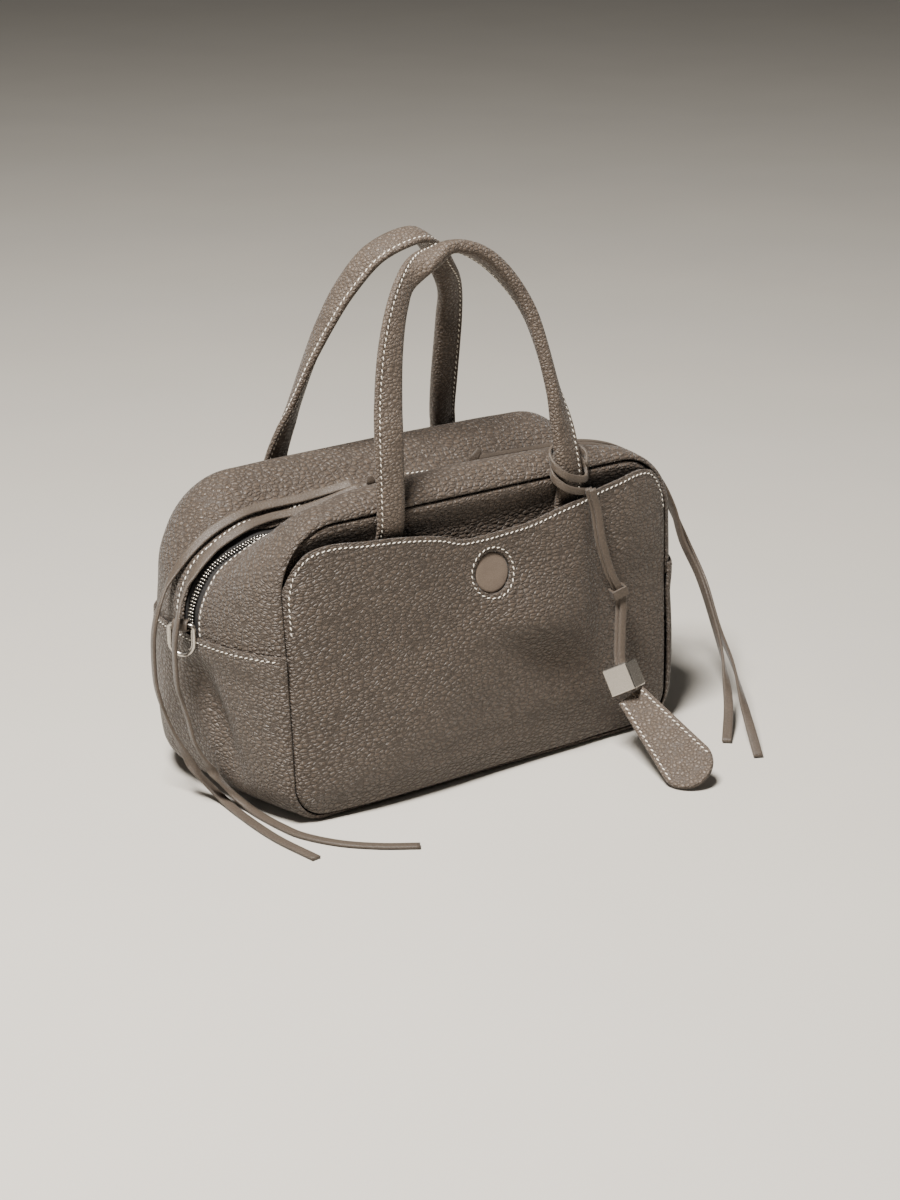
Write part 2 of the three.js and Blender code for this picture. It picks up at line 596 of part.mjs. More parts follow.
// A handle's middle line. across is a share of half HANDLE_SPREAD, lean the way towards the bag's
// middle, rise the way up from the body's top to the handle's top. turn, in degrees, swings the sewn
// edge from facing outward to facing the bag's middle. flat and wide scale the thickness and the width.
const FRONT_ARCH = [
  { across: -1, lean: 0, rise: 0, turn: 2, flat: 0.85, wide: 1 },
  { across: -0.985, lean: 0.11, rise: 0.32, turn: 3, flat: 1, wide: 1 },
  { across: -0.955, lean: 0.22, rise: 0.42, turn: 0, flat: 1, wide: 1 },
  { across: -0.875, lean: 0.4, rise: 0.64, turn: -10, flat: 1, wide: 0.98 },
  { across: -0.74, lean: 0.6, rise: 0.81, turn: -17, flat: 1, wide: 0.93 },
  { across: -0.585, lean: 0.77, rise: 0.905, turn: -8, flat: 1, wide: 0.86 },
  { across: -0.24, lean: 0.93, rise: 0.98, turn: 75, flat: 1, wide: 0.85 },
  { across: -0.09, lean: 1, rise: 1, turn: 96, flat: 1, wide: 0.88 },
  { across: 0.145, lean: 0.965, rise: 0.973, turn: 106, flat: 1, wide: 0.93 },
  { across: 0.375, lean: 0.875, rise: 0.9, turn: 101, flat: 1, wide: 0.96 },
  { across: 0.655, lean: 0.7, rise: 0.722, turn: 83, flat: 1, wide: 0.95 },
  { across: 0.79, lean: 0.47, rise: 0.525, turn: 63, flat: 1, wide: 0.95 },
  { across: 0.88, lean: 0.27, rise: 0.335, turn: 40, flat: 1, wide: 0.95 },
  { across: 0.92, lean: 0.11, rise: 0.177, turn: 12, flat: 1, wide: 0.97 },
  { across: 0.96, lean: 0, rise: 0, turn: 1, flat: 0.85, wide: 1 },
];
const REAR_ARCH = [
  { across: -0.95, lean: 0, rise: 0, turn: 15, flat: 0.85, wide: 0.98 },
  { across: -0.895, lean: 0.16, rise: 0.17, turn: 32, flat: 1, wide: 0.96 },
  { across: -0.87, lean: 0.26, rise: 0.25, turn: 47, flat: 1, wide: 0.96 },
  { across: -0.75, lean: 0.5, rise: 0.5, turn: 66, flat: 1, wide: 0.97 },
  { across: -0.67, lean: 0.64, rise: 0.635, turn: 80, flat: 1, wide: 0.96 },
  { across: -0.51, lean: 0.76, rise: 0.79, turn: 95, flat: 1, wide: 0.94 },
  { across: -0.265, lean: 0.92, rise: 0.94, turn: 104, flat: 1, wide: 0.96 },
  { across: 0.14, lean: 1, rise: 1, turn: 100, flat: 1, wide: 1 },
  { across: 0.33, lean: 0.92, rise: 0.95, turn: 80, flat: 1, wide: 0.96 },
  { across: 0.54, lean: 0.79, rise: 0.82, turn: 50, flat: 1, wide: 0.87 },
  { across: 0.715, lean: 0.6, rise: 0.7, turn: 14, flat: 1, wide: 0.88 },
  { across: 0.8, lean: 0.42, rise: 0.56, turn: 10, flat: 1, wide: 0.97 },
  { across: 0.83, lean: 0.24, rise: 0.225, turn: 12, flat: 1, wide: 0.98 },
  { across: 0.895, lean: 0.08, rise: 0.077, turn: 7, flat: 1, wide: 0.97 },
  { across: 0.94, lean: 0, rise: 0, turn: 6, flat: 0.85, wide: 0.98 },
];
const FRONT_LEAN_IN = 28; // from the legs back to the top of the front handle
const REAR_LEAN_IN = 46;
// The sewn part of the legs: heights as shares from LEG_FOOT to the body's top.
const LEG_ROWS = [
  { up: 0, flat: 0.6 },
  { up: 0.3, flat: 0.62 },
  { up: 0.55, flat: 0.66 },
  { up: 0.8, flat: 0.75 },
];

// facing is -1 for the front handle and 1 for the rear one; panelY is the panel that it is sewn to.
function handle(arch, facing, top, leanIn, panelY) {
  const legY = (z, flat) => panelY(HANDLE_SPREAD / 2, z) + facing * ((STRAP_FOLD * flat) / 2 + SEWN_GAP);
  const endOf = (side) => Math.abs(arch[side < 0 ? 0 : arch.length - 1].across);
  const leg = (side) =>
    LEG_ROWS.map(({ up, flat }) => {
      const z = lerp(LEG_FOOT, HEIGHT, up);
      const across = side * lerp(1, endOf(side), up);
      return { at: vec((across * HANDLE_SPREAD) / 2, legY(z, flat), z), turn: 0, flat, wide: 1 };
    });
  const bow = arch.map((row) => {
    const y = legY(HEIGHT, arch[0].flat) - facing * leanIn * row.lean;
    return { ...row, at: vec((row.across * HANDLE_SPREAD) / 2, y, lerp(HEIGHT, top, row.rise)) };
  });
  const line = [...leg(-1), ...bow, ...leg(1).reverse()];
  const curve = new THREE.CatmullRomCurve3(line.map((row) => row.at), false, "centripetal");
  const knots = line.map((_, i) => i / (line.length - 1));
  const read = (key, u) => curveThrough(knots, line.map((row) => row[key]), u);
  const rings = steps(0, 1, 31).map((share) => {
    const u = curve.getUtoTmapping(share);
    const t = curve.getTangent(u);
    const outward = t.clone().cross(vec(0, 1, 0)).normalize();
    const inward = outward.clone().cross(t).multiplyScalar(-facing);
    const turn = THREE.MathUtils.degToRad(read("turn", u));
    const w = outward.multiplyScalar(Math.cos(turn)).addScaledVector(inward, Math.sin(turn));
    const n = t.clone().cross(w).multiplyScalar(-facing);
    const width = STRAP_WIDTH * read("wide", u);
    const thick = (STRAP_FOLD / 2) * read("flat", u);
    const middle = curve.getPoint(u);
    const at = (p) => middle.clone().addScaledVector(w, p.w * width).addScaledVector(n, p.n * thick);
    const lower = STRAP_SECTION.slice(1).map((p) => ({ w: p.w, n: -p.n }));
    const ring = [...STRAP_SECTION, ...lower.reverse()].map(at);
    return facing > 0 ? ring : ring.reverse();
  });
  return loft(rings);
}
add("front_handle", handle(FRONT_ARCH, -1, FRONT_HANDLE_TOP, FRONT_LEAN_IN, frontPanelY), leather);
add("rear_handle", handle(REAR_ARCH, 1, REAR_HANDLE_TOP, REAR_LEAN_IN, backPanelY), leather);

// Rings and their tabs
// The bar of a ring: its middle, the way it points and the way the ring hangs.
function ringFrame(side) {
  const turn = THREE.MathUtils.degToRad(RING_TURN);
  const along = vec(-side * Math.sin(turn), -Math.cos(turn), 0);
  const middle = vec(side * (LENGTH / 2 + RING_STAND), -RING_STAND / 8, SEAM_HEIGHT + RING_RISE);
  return { middle, along, down: vec(0, 0, -1), out: along.clone().cross(vec(0, 0, side)) };
}

// A closed wire with a straight bar and a round bow.
function ring(side) {
  const { middle, along, down } = ringFrame(side);
  const w = (RING_WIDTH - RING_WIRE) / 2;
  const h = RING_HEIGHT - RING_WIRE;
  const bow = steps(0, Math.PI, 6).map((a) => [w * Math.cos(a), h - w + w * Math.sin(a)]);
  const path = [[-w * 0.8, 0], [w * 0.8, 0], [w, w * 0.2], ...bow, [-w, w * 0.2]];
  const points = path.map(([x, y]) => middle.clone().addScaledVector(along, x).addScaledVector(down, y));
  const face = along.clone().cross(down);
  const rings = points.map((p, i) => {
    const before = points[(i + points.length - 1) % points.length];
    const after = points[(i + 1) % points.length];
    const t = after.clone().sub(before).normalize();
    const across = face.clone().cross(t);
    return steps(0, Math.PI * 2, WIRE_SIDES).slice(1).map((a) => {
      const round = face.clone().multiplyScalar(Math.sin(a)).addScaledVector(across, Math.cos(a));
      return p.clone().addScaledVector(round, RING_WIRE / 2);
    });
  });
  return loft(rings, true);
}

// A leather tab: a flat foot in the zip's slot, a twisted neck and a loop round the ring's bar.
function tab(side) {
  const { middle, along, out } = ringFrame(side);
  const bore = RING_WIRE / 2 + 2 * GAP;
  const radius = bore + TAB_THICKNESS;
  const eye = new THREE.Shape().absarc(0, 0, radius, 0, Math.PI * 2, false);
  eye.holes.push(new THREE.Path().absarc(0, 0, bore, 0, Math.PI * 2, true));
  const narrow = TAB_WIDTH * 0.8;
  const loop = new THREE.ExtrudeGeometry(eye, { depth: narrow, bevelEnabled: false, curveSegments: 6 });
  loop.translate(0, 0, -narrow / 2);
  loop.applyMatrix4(new THREE.Matrix4().makeBasis(out, along.clone().cross(out), along));
  loop.translate(middle.x, middle.y, middle.z);
  const low = gussetPoint(side * further(side, 3, OVERLAP / 2), 0, -LEATHER / 2);
  const edge = gussetPoint(side * further(side, 3, -OVERLAP / 4), 0, -LEATHER / 2);
  const rear = middle.clone().addScaledVector(out, -radius + TAB_THICKNESS / 2);
  const neck = edge.clone().lerp(rear, 0.45).add(vec(0, 0, 1));
  const sections = [
    { at: low, wide: TAB_WIDTH, along: vec(0, -1, 0) },
    { at: edge, wide: TAB_WIDTH, along: vec(0, -1, 0) },
    { at: neck, wide: TAB_WIDTH * 0.9, along: vec(-side * 0.2, -1, 0).normalize() },
    { at: rear.clone().add(vec(0, 0, -radius * 0.6)), wide: narrow, along },
    { at: rear, wide: narrow, along },
  ];
  const rings = sections.map(({ at, wide, along: w }) => {
    const thick = w.clone().cross(vec(0, 0, side));
    const corners = [[1, 1], [-1, 1], [-1, -1], [1, -1]];
    const ringOf = corners.map(([a, b]) =>
      at.clone().addScaledVector(w, (a * wide) / 2).addScaledVector(thick, (b * TAB_THICKNESS) / 2),
    );
    return side < 0 ? ringOf : ringOf.reverse();
  });
  return geometryFrom(solidOf(loft(rings)).add(solidOf(loop)));
}
for (const [side, name] of [[-1, "left"], [1, "right"]]) {
  add(`d_ring_${name}`, ring(side), nickel);
  add(`ring_tab_${name}`, tab(side), leather);
}

// Lace pulls
// Middle lines, point by point: from the knot over the bag's end to the floor.
const LACES = {
  left_front: [
    [-43, 0.5, 167.5], [-64, 5, 161.5], [-84.5, 8.6, 157.8], [-96.3, 10.2, 157.2], [-106.8, 9.4, 156.6],
    [-117.8, 7.6, 155.3], [-127.5, 7.2, 152.3], [-135.7, 7.2, 148.8], [-145, 5.5, 143.9], [-152.3, 5, 137.7],
    [-158.3, 4.5, 131], [-165.5, -1, 125.5], [-172.5, -7.5, 120], [-176, -10.5, 113], [-177.4, -10, 103],
    [-177.3, -9.5, 90], [-176, -9, 74.5], [-173, -8.5, 65.3], [-170.5, -10, 54.3], [-167.7, -11.5, 40.6],
    [-162.5, -13.5, 28.7], [-156.2, -17.5, 17], [-149.8, -22.5, 7.6], [-146.3, -32, 2.6], [-145.8, -46, 1.3],
    [-144.6, -66, 1.3], [-142, -82, 1.3], [-130.5, -104, 1.3], [-114.5, -120.5, 1.3], [-96, -133.5, 1.3],
  ],
  left_back: [
    [-43.4, 7.5, 168.6], [-60, 12.6, 165], [-75.4, 14.4, 163.2], [-90, 16.6, 162.4], [-103.5, 17.3, 161.8],
    [-114, 16.2, 161], [-123.7, 16, 158.6], [-133.4, 16.6, 154.7], [-143, 17.2, 149], [-152.4, 18, 141],
    [-158.4, 19.4, 133.4], [-164, 19, 126.8], [-171, 15, 119.5], [-175.8, 13, 110.7], [-177.8, 13, 100.8],
    [-178.4, 13, 88], [-177.6, 13, 71], [-176, 12, 61.5], [-172.9, 12, 51.4], [-169.2, 10, 40],
    [-165.2, 6, 29.1], [-161.2, 0, 17.8], [-155.6, -7, 8.4], [-152.8, -16, 3], [-153.8, -34, 1.3],
    [-155.4, -59.5, 1.3], [-155.4, -81, 1.3], [-151.8, -113, 1.3],
  ],
  right_front: [
    [42.9, -1.5, 167.6], [70, -2, 167], [100, -2, 167], [123, -2, 166], [148, -2, 159], [168, -3, 149],
    [183, -4, 134], [193, -7, 114], [198, -12, 91], [202, -24, 70], [196, -46, 47], [184, -70, 30],
    [166, -96, 14], [143, -121, 1.6],
  ],
  right_back: [
    [43.2, 5.4, 168.4], [70, 8, 167], [100, 8, 166], [123, 7.5, 165.5], [148, 7.5, 160], [168, 8, 150.5],
    [186, 8, 135.5], [200, 4, 111], [210, -4, 83.5], [211, -19, 63.5], [200, -45.6, 43.4], [178, -86, 33],
    [158.5, -120, 18], [143, -149.5, 1.6],
  ],
};

// The way a lace's broad side faces: away from the shoulder, then up on the floor. The left pair lies
// on the slope behind the zip and twists a little on its way down.
const LACE_TILT = { "-1": { high: -0.7, low: 0.2 }, 1: { high: 0, low: 0 } };
function laceFacing(side) {
  return (_, p) => {
    const shoulder = vec(side * (LENGTH / 2 - SHOULDER_LEFT), 0, HEIGHT - SHOULDER_LEFT);
    const round = vec(p.x - shoulder.x, 0, Math.max(0, p.z - shoulder.z));
    if (side * round.x < 0) round.x = 0;
    const { high, low } = LACE_TILT[side];
    const onTop = smoothstep(p.z, SEAM_HEIGHT + LACE_WIDTH * 3, HEIGHT - LACE_WIDTH);
    round.normalize().setY(lerp(low, high, onTop));
    const hanging = smoothstep(p.z, 4, SEAM_HEIGHT * 0.45);
    return round.multiplyScalar(hanging).add(vec(0, 0, 1 - hanging));
  };
}
for (const [name, points] of Object.entries(LACES)) {
  const side = Math.sign(points[0][0]);
  const curve = new StrapCurve(points.map((p) => vec(...p)), laceFacing(side));
  add(`lace_${name}`, strap(curve, LACE_WIDTH, LACE_THICKNESS, side < 0 ? 22 : 18), leather);
}

// Tag
// The thong's turns round the front handle's right leg, as shares of the leg's size, with heights.
const WRAP = [
  { x: 0.8, y: -1.05, z: 161.5 },
  { x: 0, y: -1.15, z: 163.5 },
  { x: -0.75, y: -0.95, z: 167 },
  { x: -1.1, y: 0, z: 172.5 },
  { x: -0.78, y: 0.82, z: 179.5 },
  { x: 0, y: 0.95, z: 182 },
  { x: 0.75, y: 0.8, z: 181 },
  { x: 1.1, y: 0, z: 175 },
  { x: 0.75, y: -0.95, z: 169.8 },
  { x: 0, y: -1.15, z: 171 },
  { x: -0.75, y: -0.95, z: 174.5 },
  { x: -1.1, y: 0, z: 180 },
  { x: -0.78, y: 1.2, z: 186 },
  { x: 0, y: 1.4, z: 188 },
  { x: 0.78, y: 1.2, z: 187 },
  { x: 1.1, y: 0, z: 182.5 },
  { x: 0.8, y: -1, z: 178 },
];
const legX = (FRONT_ARCH[FRONT_ARCH.length - 1].across * HANDLE_SPREAD) / 2;
const legAt = vec(legX, frontPanelY(HANDLE_SPREAD / 2, HEIGHT) - 0.43 * STRAP_FOLD - SEWN_GAP, 0);
const wrapWide = STRAP_WIDTH / 2 + THONG_THICKNESS / 2 + 3 * GAP;
const wrapDeep = STRAP_FOLD / 2 + THONG_THICKNESS / 2 + 3 * GAP;
const wrapPoints = WRAP.map((p) => vec(legAt.x + p.x * wrapWide, legAt.y + p.y * wrapDeep, p.z));
const offTheLeg = (_, p) => vec(p.x - legAt.x, (p.y - legAt.y) * 3, 0).normalize();
const wrapCurve = new StrapCurve(wrapPoints, offTheLeg);
add("tag_wrap", strap(wrapCurve, THONG_WIDTH, THONG_THICKNESS, 28), leather);

// The two strands hang one before the other through the keeper.
const STRAND = [
  [72, -72.5, 158], [75.3, -74, 149], [77.4, -76, 131], [82.9, -79, 110], [87.3, -80.5, 100.7],
  [89.3, -81.5, 93.2], [86.5, -85, 75.7], [82.9, -89.5, 58.8],
].map((p) => vec(...p));
const strandShift = vec(0.5, -(THONG_THICKNESS + 2 * GAP) / 2, 0);
const strandFacing = () => vec(-0.3, -1, 0.1);
for (const [name, sign] of [["left", -1], ["right", 1]]) {
  const points = STRAND.map((p) => p.clone().addScaledVector(strandShift, sign));
  const curve = new StrapCurve(points, strandFacing);
  add(`tag_strand_${name}`, strap(curve, THONG_WIDTH, THONG_THICKNESS, 11), leather);
}

function rectangle(width, depth) {
  const corners = [[-1, -1], [1, -1], [1, 1], [-1, 1]];
  return new THREE.Shape(corners.map(([x, y]) => new THREE.Vector2((x * width) / 2, (y * depth) / 2)));
}

// The keeper is a short sleeve round both strands.
function sleeve(width, depth, wall, length) {
  const shape = rectangle(width + 2 * wall, depth + 2 * wall);
  shape.holes.push(rectangle(width, depth));
  const g = new THREE.ExtrudeGeometry(shape, { depth: length, bevelEnabled: false });
  return g.translate(0, 0, -length / 2);
}
const strandsDeep = 2 * THONG_THICKNESS + 5 * GAP;
const keeper = sleeve(THONG_WIDTH + 8 * GAP, strandsDeep, KEEPER_WALL, KEEPER_LENGTH);

// Moves a shape from its own axes to a place, with z along one direction and x close to another.
function place(geometry, at, zAxis, xAxis) {
  const z = zAxis.clone().normalize();
  const x = xAxis.clone().addScaledVector(z, -xAxis.dot(z)).normalize();
  const axes = new THREE.Matrix4().makeBasis(x, z.clone().cross(x), z);
  return geometry.applyMatrix4(axes).translate(at.x, at.y, at.z);
}
const strandLine = new THREE.CatmullRomCurve3(STRAND, false, "centripetal");
const keeperAt = 0.6; // share of the strands' length
const keeperWay = strandLine.getTangentAt(keeperAt);
add("tag_keeper", place(keeper, strandLine.getPointAt(keeperAt), keeperWay, vec(1, -0.3, 0)), leather);

// The cube hangs askew, its lower end towards the front.
const cubeDown = vec(0.12, -0.47, -0.88).normalize();
const cubeAt = vec(82.4, -94, 49.1);
const cubeSide = CUBE - 2 * CUBE_BEVEL;
const bevel = { bevelSize: CUBE_BEVEL, bevelThickness: CUBE_BEVEL, bevelSegments: 1 };
const cube = new THREE.ExtrudeGeometry(rectangle(cubeSide, cubeSide), { depth: cubeSide, ...bevel });
cube.translate(0, 0, -cubeSide / 2);
add("tag_cube", place(cube, cubeAt, cubeDown, vec(0.48, -0.72, 0.48)), nickel);

// The paddle lies from the cube down to the floor on its rounded end.
function paddleShape() {
  const n = PADDLE_NECK / 2;
  const w = PADDLE_WIDTH / 2;
  const shape = new THREE.Shape();
  shape.moveTo(-n, 0);
  shape.lineTo(n, 0);
  shape.lineTo(w, PADDLE_LENGTH - w);
  shape.absarc(0, PADDLE_LENGTH - w, w, 0, Math.PI, false);
  return shape;
}
const paddleFrom = cubeAt.clone().addScaledVector(cubeDown, CUBE / 2 + PADDLE_THICKNESS);
const paddleTip = vec(82.8, -161, 8.5);
const flatSheet = { depth: PADDLE_THICKNESS, bevelEnabled: false, curveSegments: 12 };
const paddle = new THREE.ExtrudeGeometry(paddleShape(), flatSheet);
paddle.translate(0, 0, -PADDLE_THICKNESS / 2).rotateX(Math.PI / 2);
add("tag_paddle", place(paddle, paddleFrom, paddleTip.sub(paddleFrom), vec(0.79, -0.36, 0.5)), leather);

export default bag;
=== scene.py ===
# %% [markdown]
# # A soft leather boston bag
# The bag is sewn from a few large pieces of pebbled leather: a front, a back, a pocket, two strips
# beside the zip and one strip under the base. Nothing stiffens it, so the zipped top sags between
# two rolls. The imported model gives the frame, and each piece here takes the place of one solid.

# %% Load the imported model
import math

import bmesh
import bpy
import numpy as np
from mathutils import Matrix, Vector


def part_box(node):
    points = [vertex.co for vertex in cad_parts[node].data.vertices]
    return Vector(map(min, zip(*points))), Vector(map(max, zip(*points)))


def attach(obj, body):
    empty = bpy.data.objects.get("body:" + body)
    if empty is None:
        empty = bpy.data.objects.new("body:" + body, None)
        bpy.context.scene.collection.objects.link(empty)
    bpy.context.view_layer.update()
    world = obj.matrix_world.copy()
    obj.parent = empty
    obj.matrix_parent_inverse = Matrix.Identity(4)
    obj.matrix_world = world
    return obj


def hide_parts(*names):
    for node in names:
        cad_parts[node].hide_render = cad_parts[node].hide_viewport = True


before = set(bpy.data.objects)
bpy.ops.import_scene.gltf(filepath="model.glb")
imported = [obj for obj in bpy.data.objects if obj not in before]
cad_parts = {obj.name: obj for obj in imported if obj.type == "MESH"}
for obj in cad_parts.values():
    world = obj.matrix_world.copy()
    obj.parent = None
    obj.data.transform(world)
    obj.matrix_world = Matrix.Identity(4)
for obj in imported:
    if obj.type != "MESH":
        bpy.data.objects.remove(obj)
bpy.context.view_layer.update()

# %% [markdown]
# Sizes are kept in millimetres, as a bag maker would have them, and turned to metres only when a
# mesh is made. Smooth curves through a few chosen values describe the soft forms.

MM = 0.001


def lerp(a, b, t):
    return a + (b - a) * t


def smoothstep(x, low, high):
    t = np.clip((x - low) / (high - low), 0, 1)
    return t * t * (3 - 2 * t)


def curve_through(xs, ys, x):
    """A smooth curve through (xs, ys), read at x. ys may hold a row of values for each of xs."""
    xs, ys, x = (np.asarray(v, float) for v in (xs, ys, x))
    x = np.clip(x, xs[0], xs[-1])
    i = np.clip(np.searchsorted(xs, x, side="left") - 1, 0, len(xs) - 2)
    wide = (-1,) + (1,) * (ys.ndim - 1)
    slopes = np.empty_like(ys)
    slopes[1:-1] = (ys[2:] - ys[:-2]) / (xs[2:] - xs[:-2]).reshape(wide)
    slopes[0] = (ys[1] - ys[0]) / (xs[1] - xs[0])
    slopes[-1] = (ys[-1] - ys[-2]) / (xs[-1] - xs[-2])
    h = xs[i + 1] - xs[i]
    t = (x - xs[i]) / h
    pick = (lambda v, k: v[k, np.arange(len(x))]) if ys.ndim == 2 and x.ndim else (lambda v, k: v[k])
    start = pick(ys, i) * (1 + 2 * t) * (1 - t) ** 2 + pick(slopes, i) * h * t * (1 - t) ** 2
    return start + pick(ys, i + 1) * t * t * (3 - 2 * t) + pick(slopes, i + 1) * h * t * t * (t - 1)


def unit(v):
    v = np.asarray(v, float)
    return v / np.maximum(np.linalg.norm(v, axis=-1, keepdims=True), 1e-9)


# %% [markdown]
# The camera stands a little above the table, in front of the bag's left corner, with a long lens, so
# the bag's lines stay nearly parallel.

# %% Camera
CAMERA_PITCH, CAMERA_TURN = math.radians(19.5), math.radians(-36.156)
TARGET_ACROSS, TARGET_UP, CAMERA_AWAY = 17.8, 88.5, 1632.8


def make_camera():
    back = Vector((math.sin(CAMERA_TURN) * math.cos(CAMERA_PITCH),
                   -math.cos(CAMERA_TURN) * math.cos(CAMERA_PITCH), math.sin(CAMERA_PITCH)))
    right = Vector((math.cos(CAMERA_TURN), math.sin(CAMERA_TURN), 0))
    turn = Matrix((right, back.cross(right), back)).transposed().to_4x4()
    place = right * TARGET_ACROSS + Vector((0, 0, TARGET_UP)) + back * CAMERA_AWAY
    camera = bpy.data.objects.new("camera", bpy.data.cameras.new("camera"))
    camera.data.sensor_fit, camera.data.sensor_height, camera.data.lens = "VERTICAL", 36, 81
    camera.matrix_world = Matrix.Translation(place * MM) @ turn
    bpy.context.scene.collection.objects.link(camera)
    bpy.context.scene.camera = camera
    return camera


print("camera at", [round(c, 3) for c in make_camera().location])

# %% [markdown]
# Leather has a grain of small pillows between creases. A Voronoi texture gives the cells: the
# distance to a cell's edge is a crease where it is small and a pillow where it is large. A noise
# bends the cells first, so that they don't look like tiles. The group puts out a height for the bump
# and a crease mask that darkens the colour, which is painted shade in the creases. It is built once,
# and each leather gives its own sizes.

# %% Shader groups
def new_group(name, inputs, outputs):
    tree = bpy.data.node_groups.new(name, "ShaderNodeTree")
    for label, kind, value in inputs:
        tree.interface.new_socket(label, in_out="INPUT", socket_type=kind).default_value = value
    for label, kind in outputs:
        tree.interface.new_socket(label, in_out="OUTPUT", socket_type=kind)
    return tree, tree.nodes.new("NodeGroupInput").outputs, tree.nodes.new("NodeGroupOutput").inputs


def add_node(tree, kind, links=(), **values):
    node = tree.nodes.new(kind)
    for key, value in values.items():
        setattr(node, key, value)
    for socket, value in links:
        if isinstance(value, bpy.types.NodeSocket):
            tree.links.new(value, node.inputs[socket])
        else:
            node.inputs[socket].default_value = value
    return node


def math_node(tree, operation, a, b, clamp=False):
    node = add_node(tree, "ShaderNodeMath", [(0, a), (1, b)], operation=operation, use_clamp=clamp)
    return node.outputs[0]


def vector_node(tree, operation, a, b, socket=1):
    links = [(0, a), (socket, b)]
    return add_node(tree, "ShaderNodeVectorMath", links, operation=operation).outputs[0]


def noise_node(tree, vector, scale, detail):
    return add_node(tree, "ShaderNodeTexNoise", [("Vector", vector), ("Scale", scale), ("Detail", detail)])


def voronoi_node(tree, vector, scale, feature, randomness=0.95, more=()):
    links = [("Vector", vector), ("Scale", scale), ("Randomness", randomness), *more]
    return add_node(tree, "ShaderNodeTexVoronoi", links, feature=feature).outputs["Distance"]


def range_node(tree, value, given=(0, 1), made=(0, 1), interpolation="LINEAR"):
    links = [("Value", value), ("From Min", given[0]), ("From Max", given[1]),
             ("To Min", made[0]), ("To Max", made[1])]
    return add_node(tree, "ShaderNodeMapRange", links, interpolation_type=interpolation).outputs[0]


def pebble_group():
    tree, given, out = new_group(
        "pebble_grain",
        [("Vector", "NodeSocketVector", (0, 0, 0)), ("Crease width", "NodeSocketFloat", 0.2),
         ("Warp", "NodeSocketFloat", 0.25), ("Fine", "NodeSocketFloat", 0.16)],
        [("Height", "NodeSocketFloat"), ("Crease", "NodeSocketFloat"), ("Mottle", "NodeSocketFloat")])
    bend = noise_node(tree, given["Vector"], 0.55, 2.0).outputs["Color"]
    centred = vector_node(tree, "SUBTRACT", bend, (0.5, 0.5, 0.5))
    scaled = vector_node(tree, "SCALE", centred, given["Warp"], "Scale")
    bent = vector_node(tree, "ADD", given["Vector"], scaled)
    cells = voronoi_node(tree, bent, 1.0, "DISTANCE_TO_EDGE")
    dome = voronoi_node(tree, bent, 1.0, "SMOOTH_F1", more=[("Smoothness", 0.35)])
    small = voronoi_node(tree, bent, 2.1, "DISTANCE_TO_EDGE", 1.0)
    pores = noise_node(tree, bent, 4.5, 3.0).outputs["Fac"]
    pillow = range_node(tree, cells, (0, given["Crease width"]), interpolation="SMOOTHERSTEP")
    split = range_node(tree, small, (0, 0.16), interpolation="SMOOTHSTEP")
    fine = math_node(tree, "MULTIPLY", math_node(tree, "ADD", split, pores), given["Fine"])
    round_top = math_node(tree, "SUBTRACT", math_node(tree, "MULTIPLY", pillow, 0.55), dome)
    tree.links.new(math_node(tree, "ADD", round_top, fine), out["Height"])
    # The crease mask paints shade into the creases' colour, and it also sets their roughness.
    tree.links.new(math_node(tree, "SUBTRACT", 1.0, pillow, True), out["Crease"])
    tree.links.new(noise_node(tree, given["Vector"], 0.09, 3.0).outputs["Fac"], out["Mottle"])
    return tree


PEBBLES = pebble_group()
print("shader group", PEBBLES.name)


# %% [markdown]
# Each finish is a Principled shader whose colour and roughness come from the groups. The numbers
# that are the same all over, such as the sheen and the index of refraction, sit on the shader itself.

# %% Materials
def srgb(r, g, b):
    linear = (((c / 255 + 0.055) / 1.055) ** 2.4 if c > 10 else c / 3294 for c in (r, g, b))
    return (*linear, 1)


def new_material(name, slot, scale):
    """A material with its shader and Object coordinates, scaled."""
    m = bpy.data.materials.new(name)
    m.use_nodes = True
    m["slot"] = slot
    tree = m.node_tree
    place = add_node(tree, "ShaderNodeTexCoord").outputs["Object"]
    sized = add_node(tree, "ShaderNodeMapping", [("Vector", place), ("Scale", scale)]).outputs[0]
    return m, tree, tree.nodes["Principled BSDF"], sized


def mixed(tree, factor, first, second):
    node = add_node(tree, "ShaderNodeMix", [("Factor", factor)], data_type="RGBA")
    node.inputs[6].default_value, node.inputs[7].default_value = srgb(*first), srgb(*second)
    return node.outputs[2]


def bumped(tree, shader, height, strength, depth):
    links = [("Height", height), ("Strength", strength), ("Distance", depth * MM)]
    tree.links.new(add_node(tree, "ShaderNodeBump", links).outputs[0], shader.inputs["Normal"])


def leather(name, cell, colour, dark, depth, crease=0.2, warp=0.25, fine=0.16, rough=(0.5, 0.62),
            slot="leather"):
    """cell is the size of a pebble along x, y and z in millimetres, and depth that of its creases."""
    m, tree, shader, sized = new_material(name, slot, [1 / (c * MM) for c in cell])
    links = [("Vector", sized), ("Crease width", crease), ("Warp", warp), ("Fine", fine)]
    grain = add_node(tree, "ShaderNodeGroup", links, node_tree=PEBBLES)
    # The creases are mixed towards the dark colour: painted shade in the grain's creases.
    tint = mixed(tree, grain.outputs["Crease"], colour, dark)
    patch = range_node(tree, grain.outputs["Mottle"], (0.3, 0.7), (0.9, 1.08))
    tree.links.new(vector_node(tree, "SCALE", tint, patch, "Scale"), shader.inputs["Base Color"])
    tree.links.new(range_node(tree, grain.outputs["Crease"], made=rough), shader.inputs["Roughness"])
    bumped(tree, shader, grain.outputs["Height"], 0.8, depth)
    shader.inputs["Specular IOR Level"].default_value = 0.42
    shader.inputs["Sheen Weight"].default_value = 0.12
    shader.inputs["Sheen Roughness"].default_value = 0.4
    return m


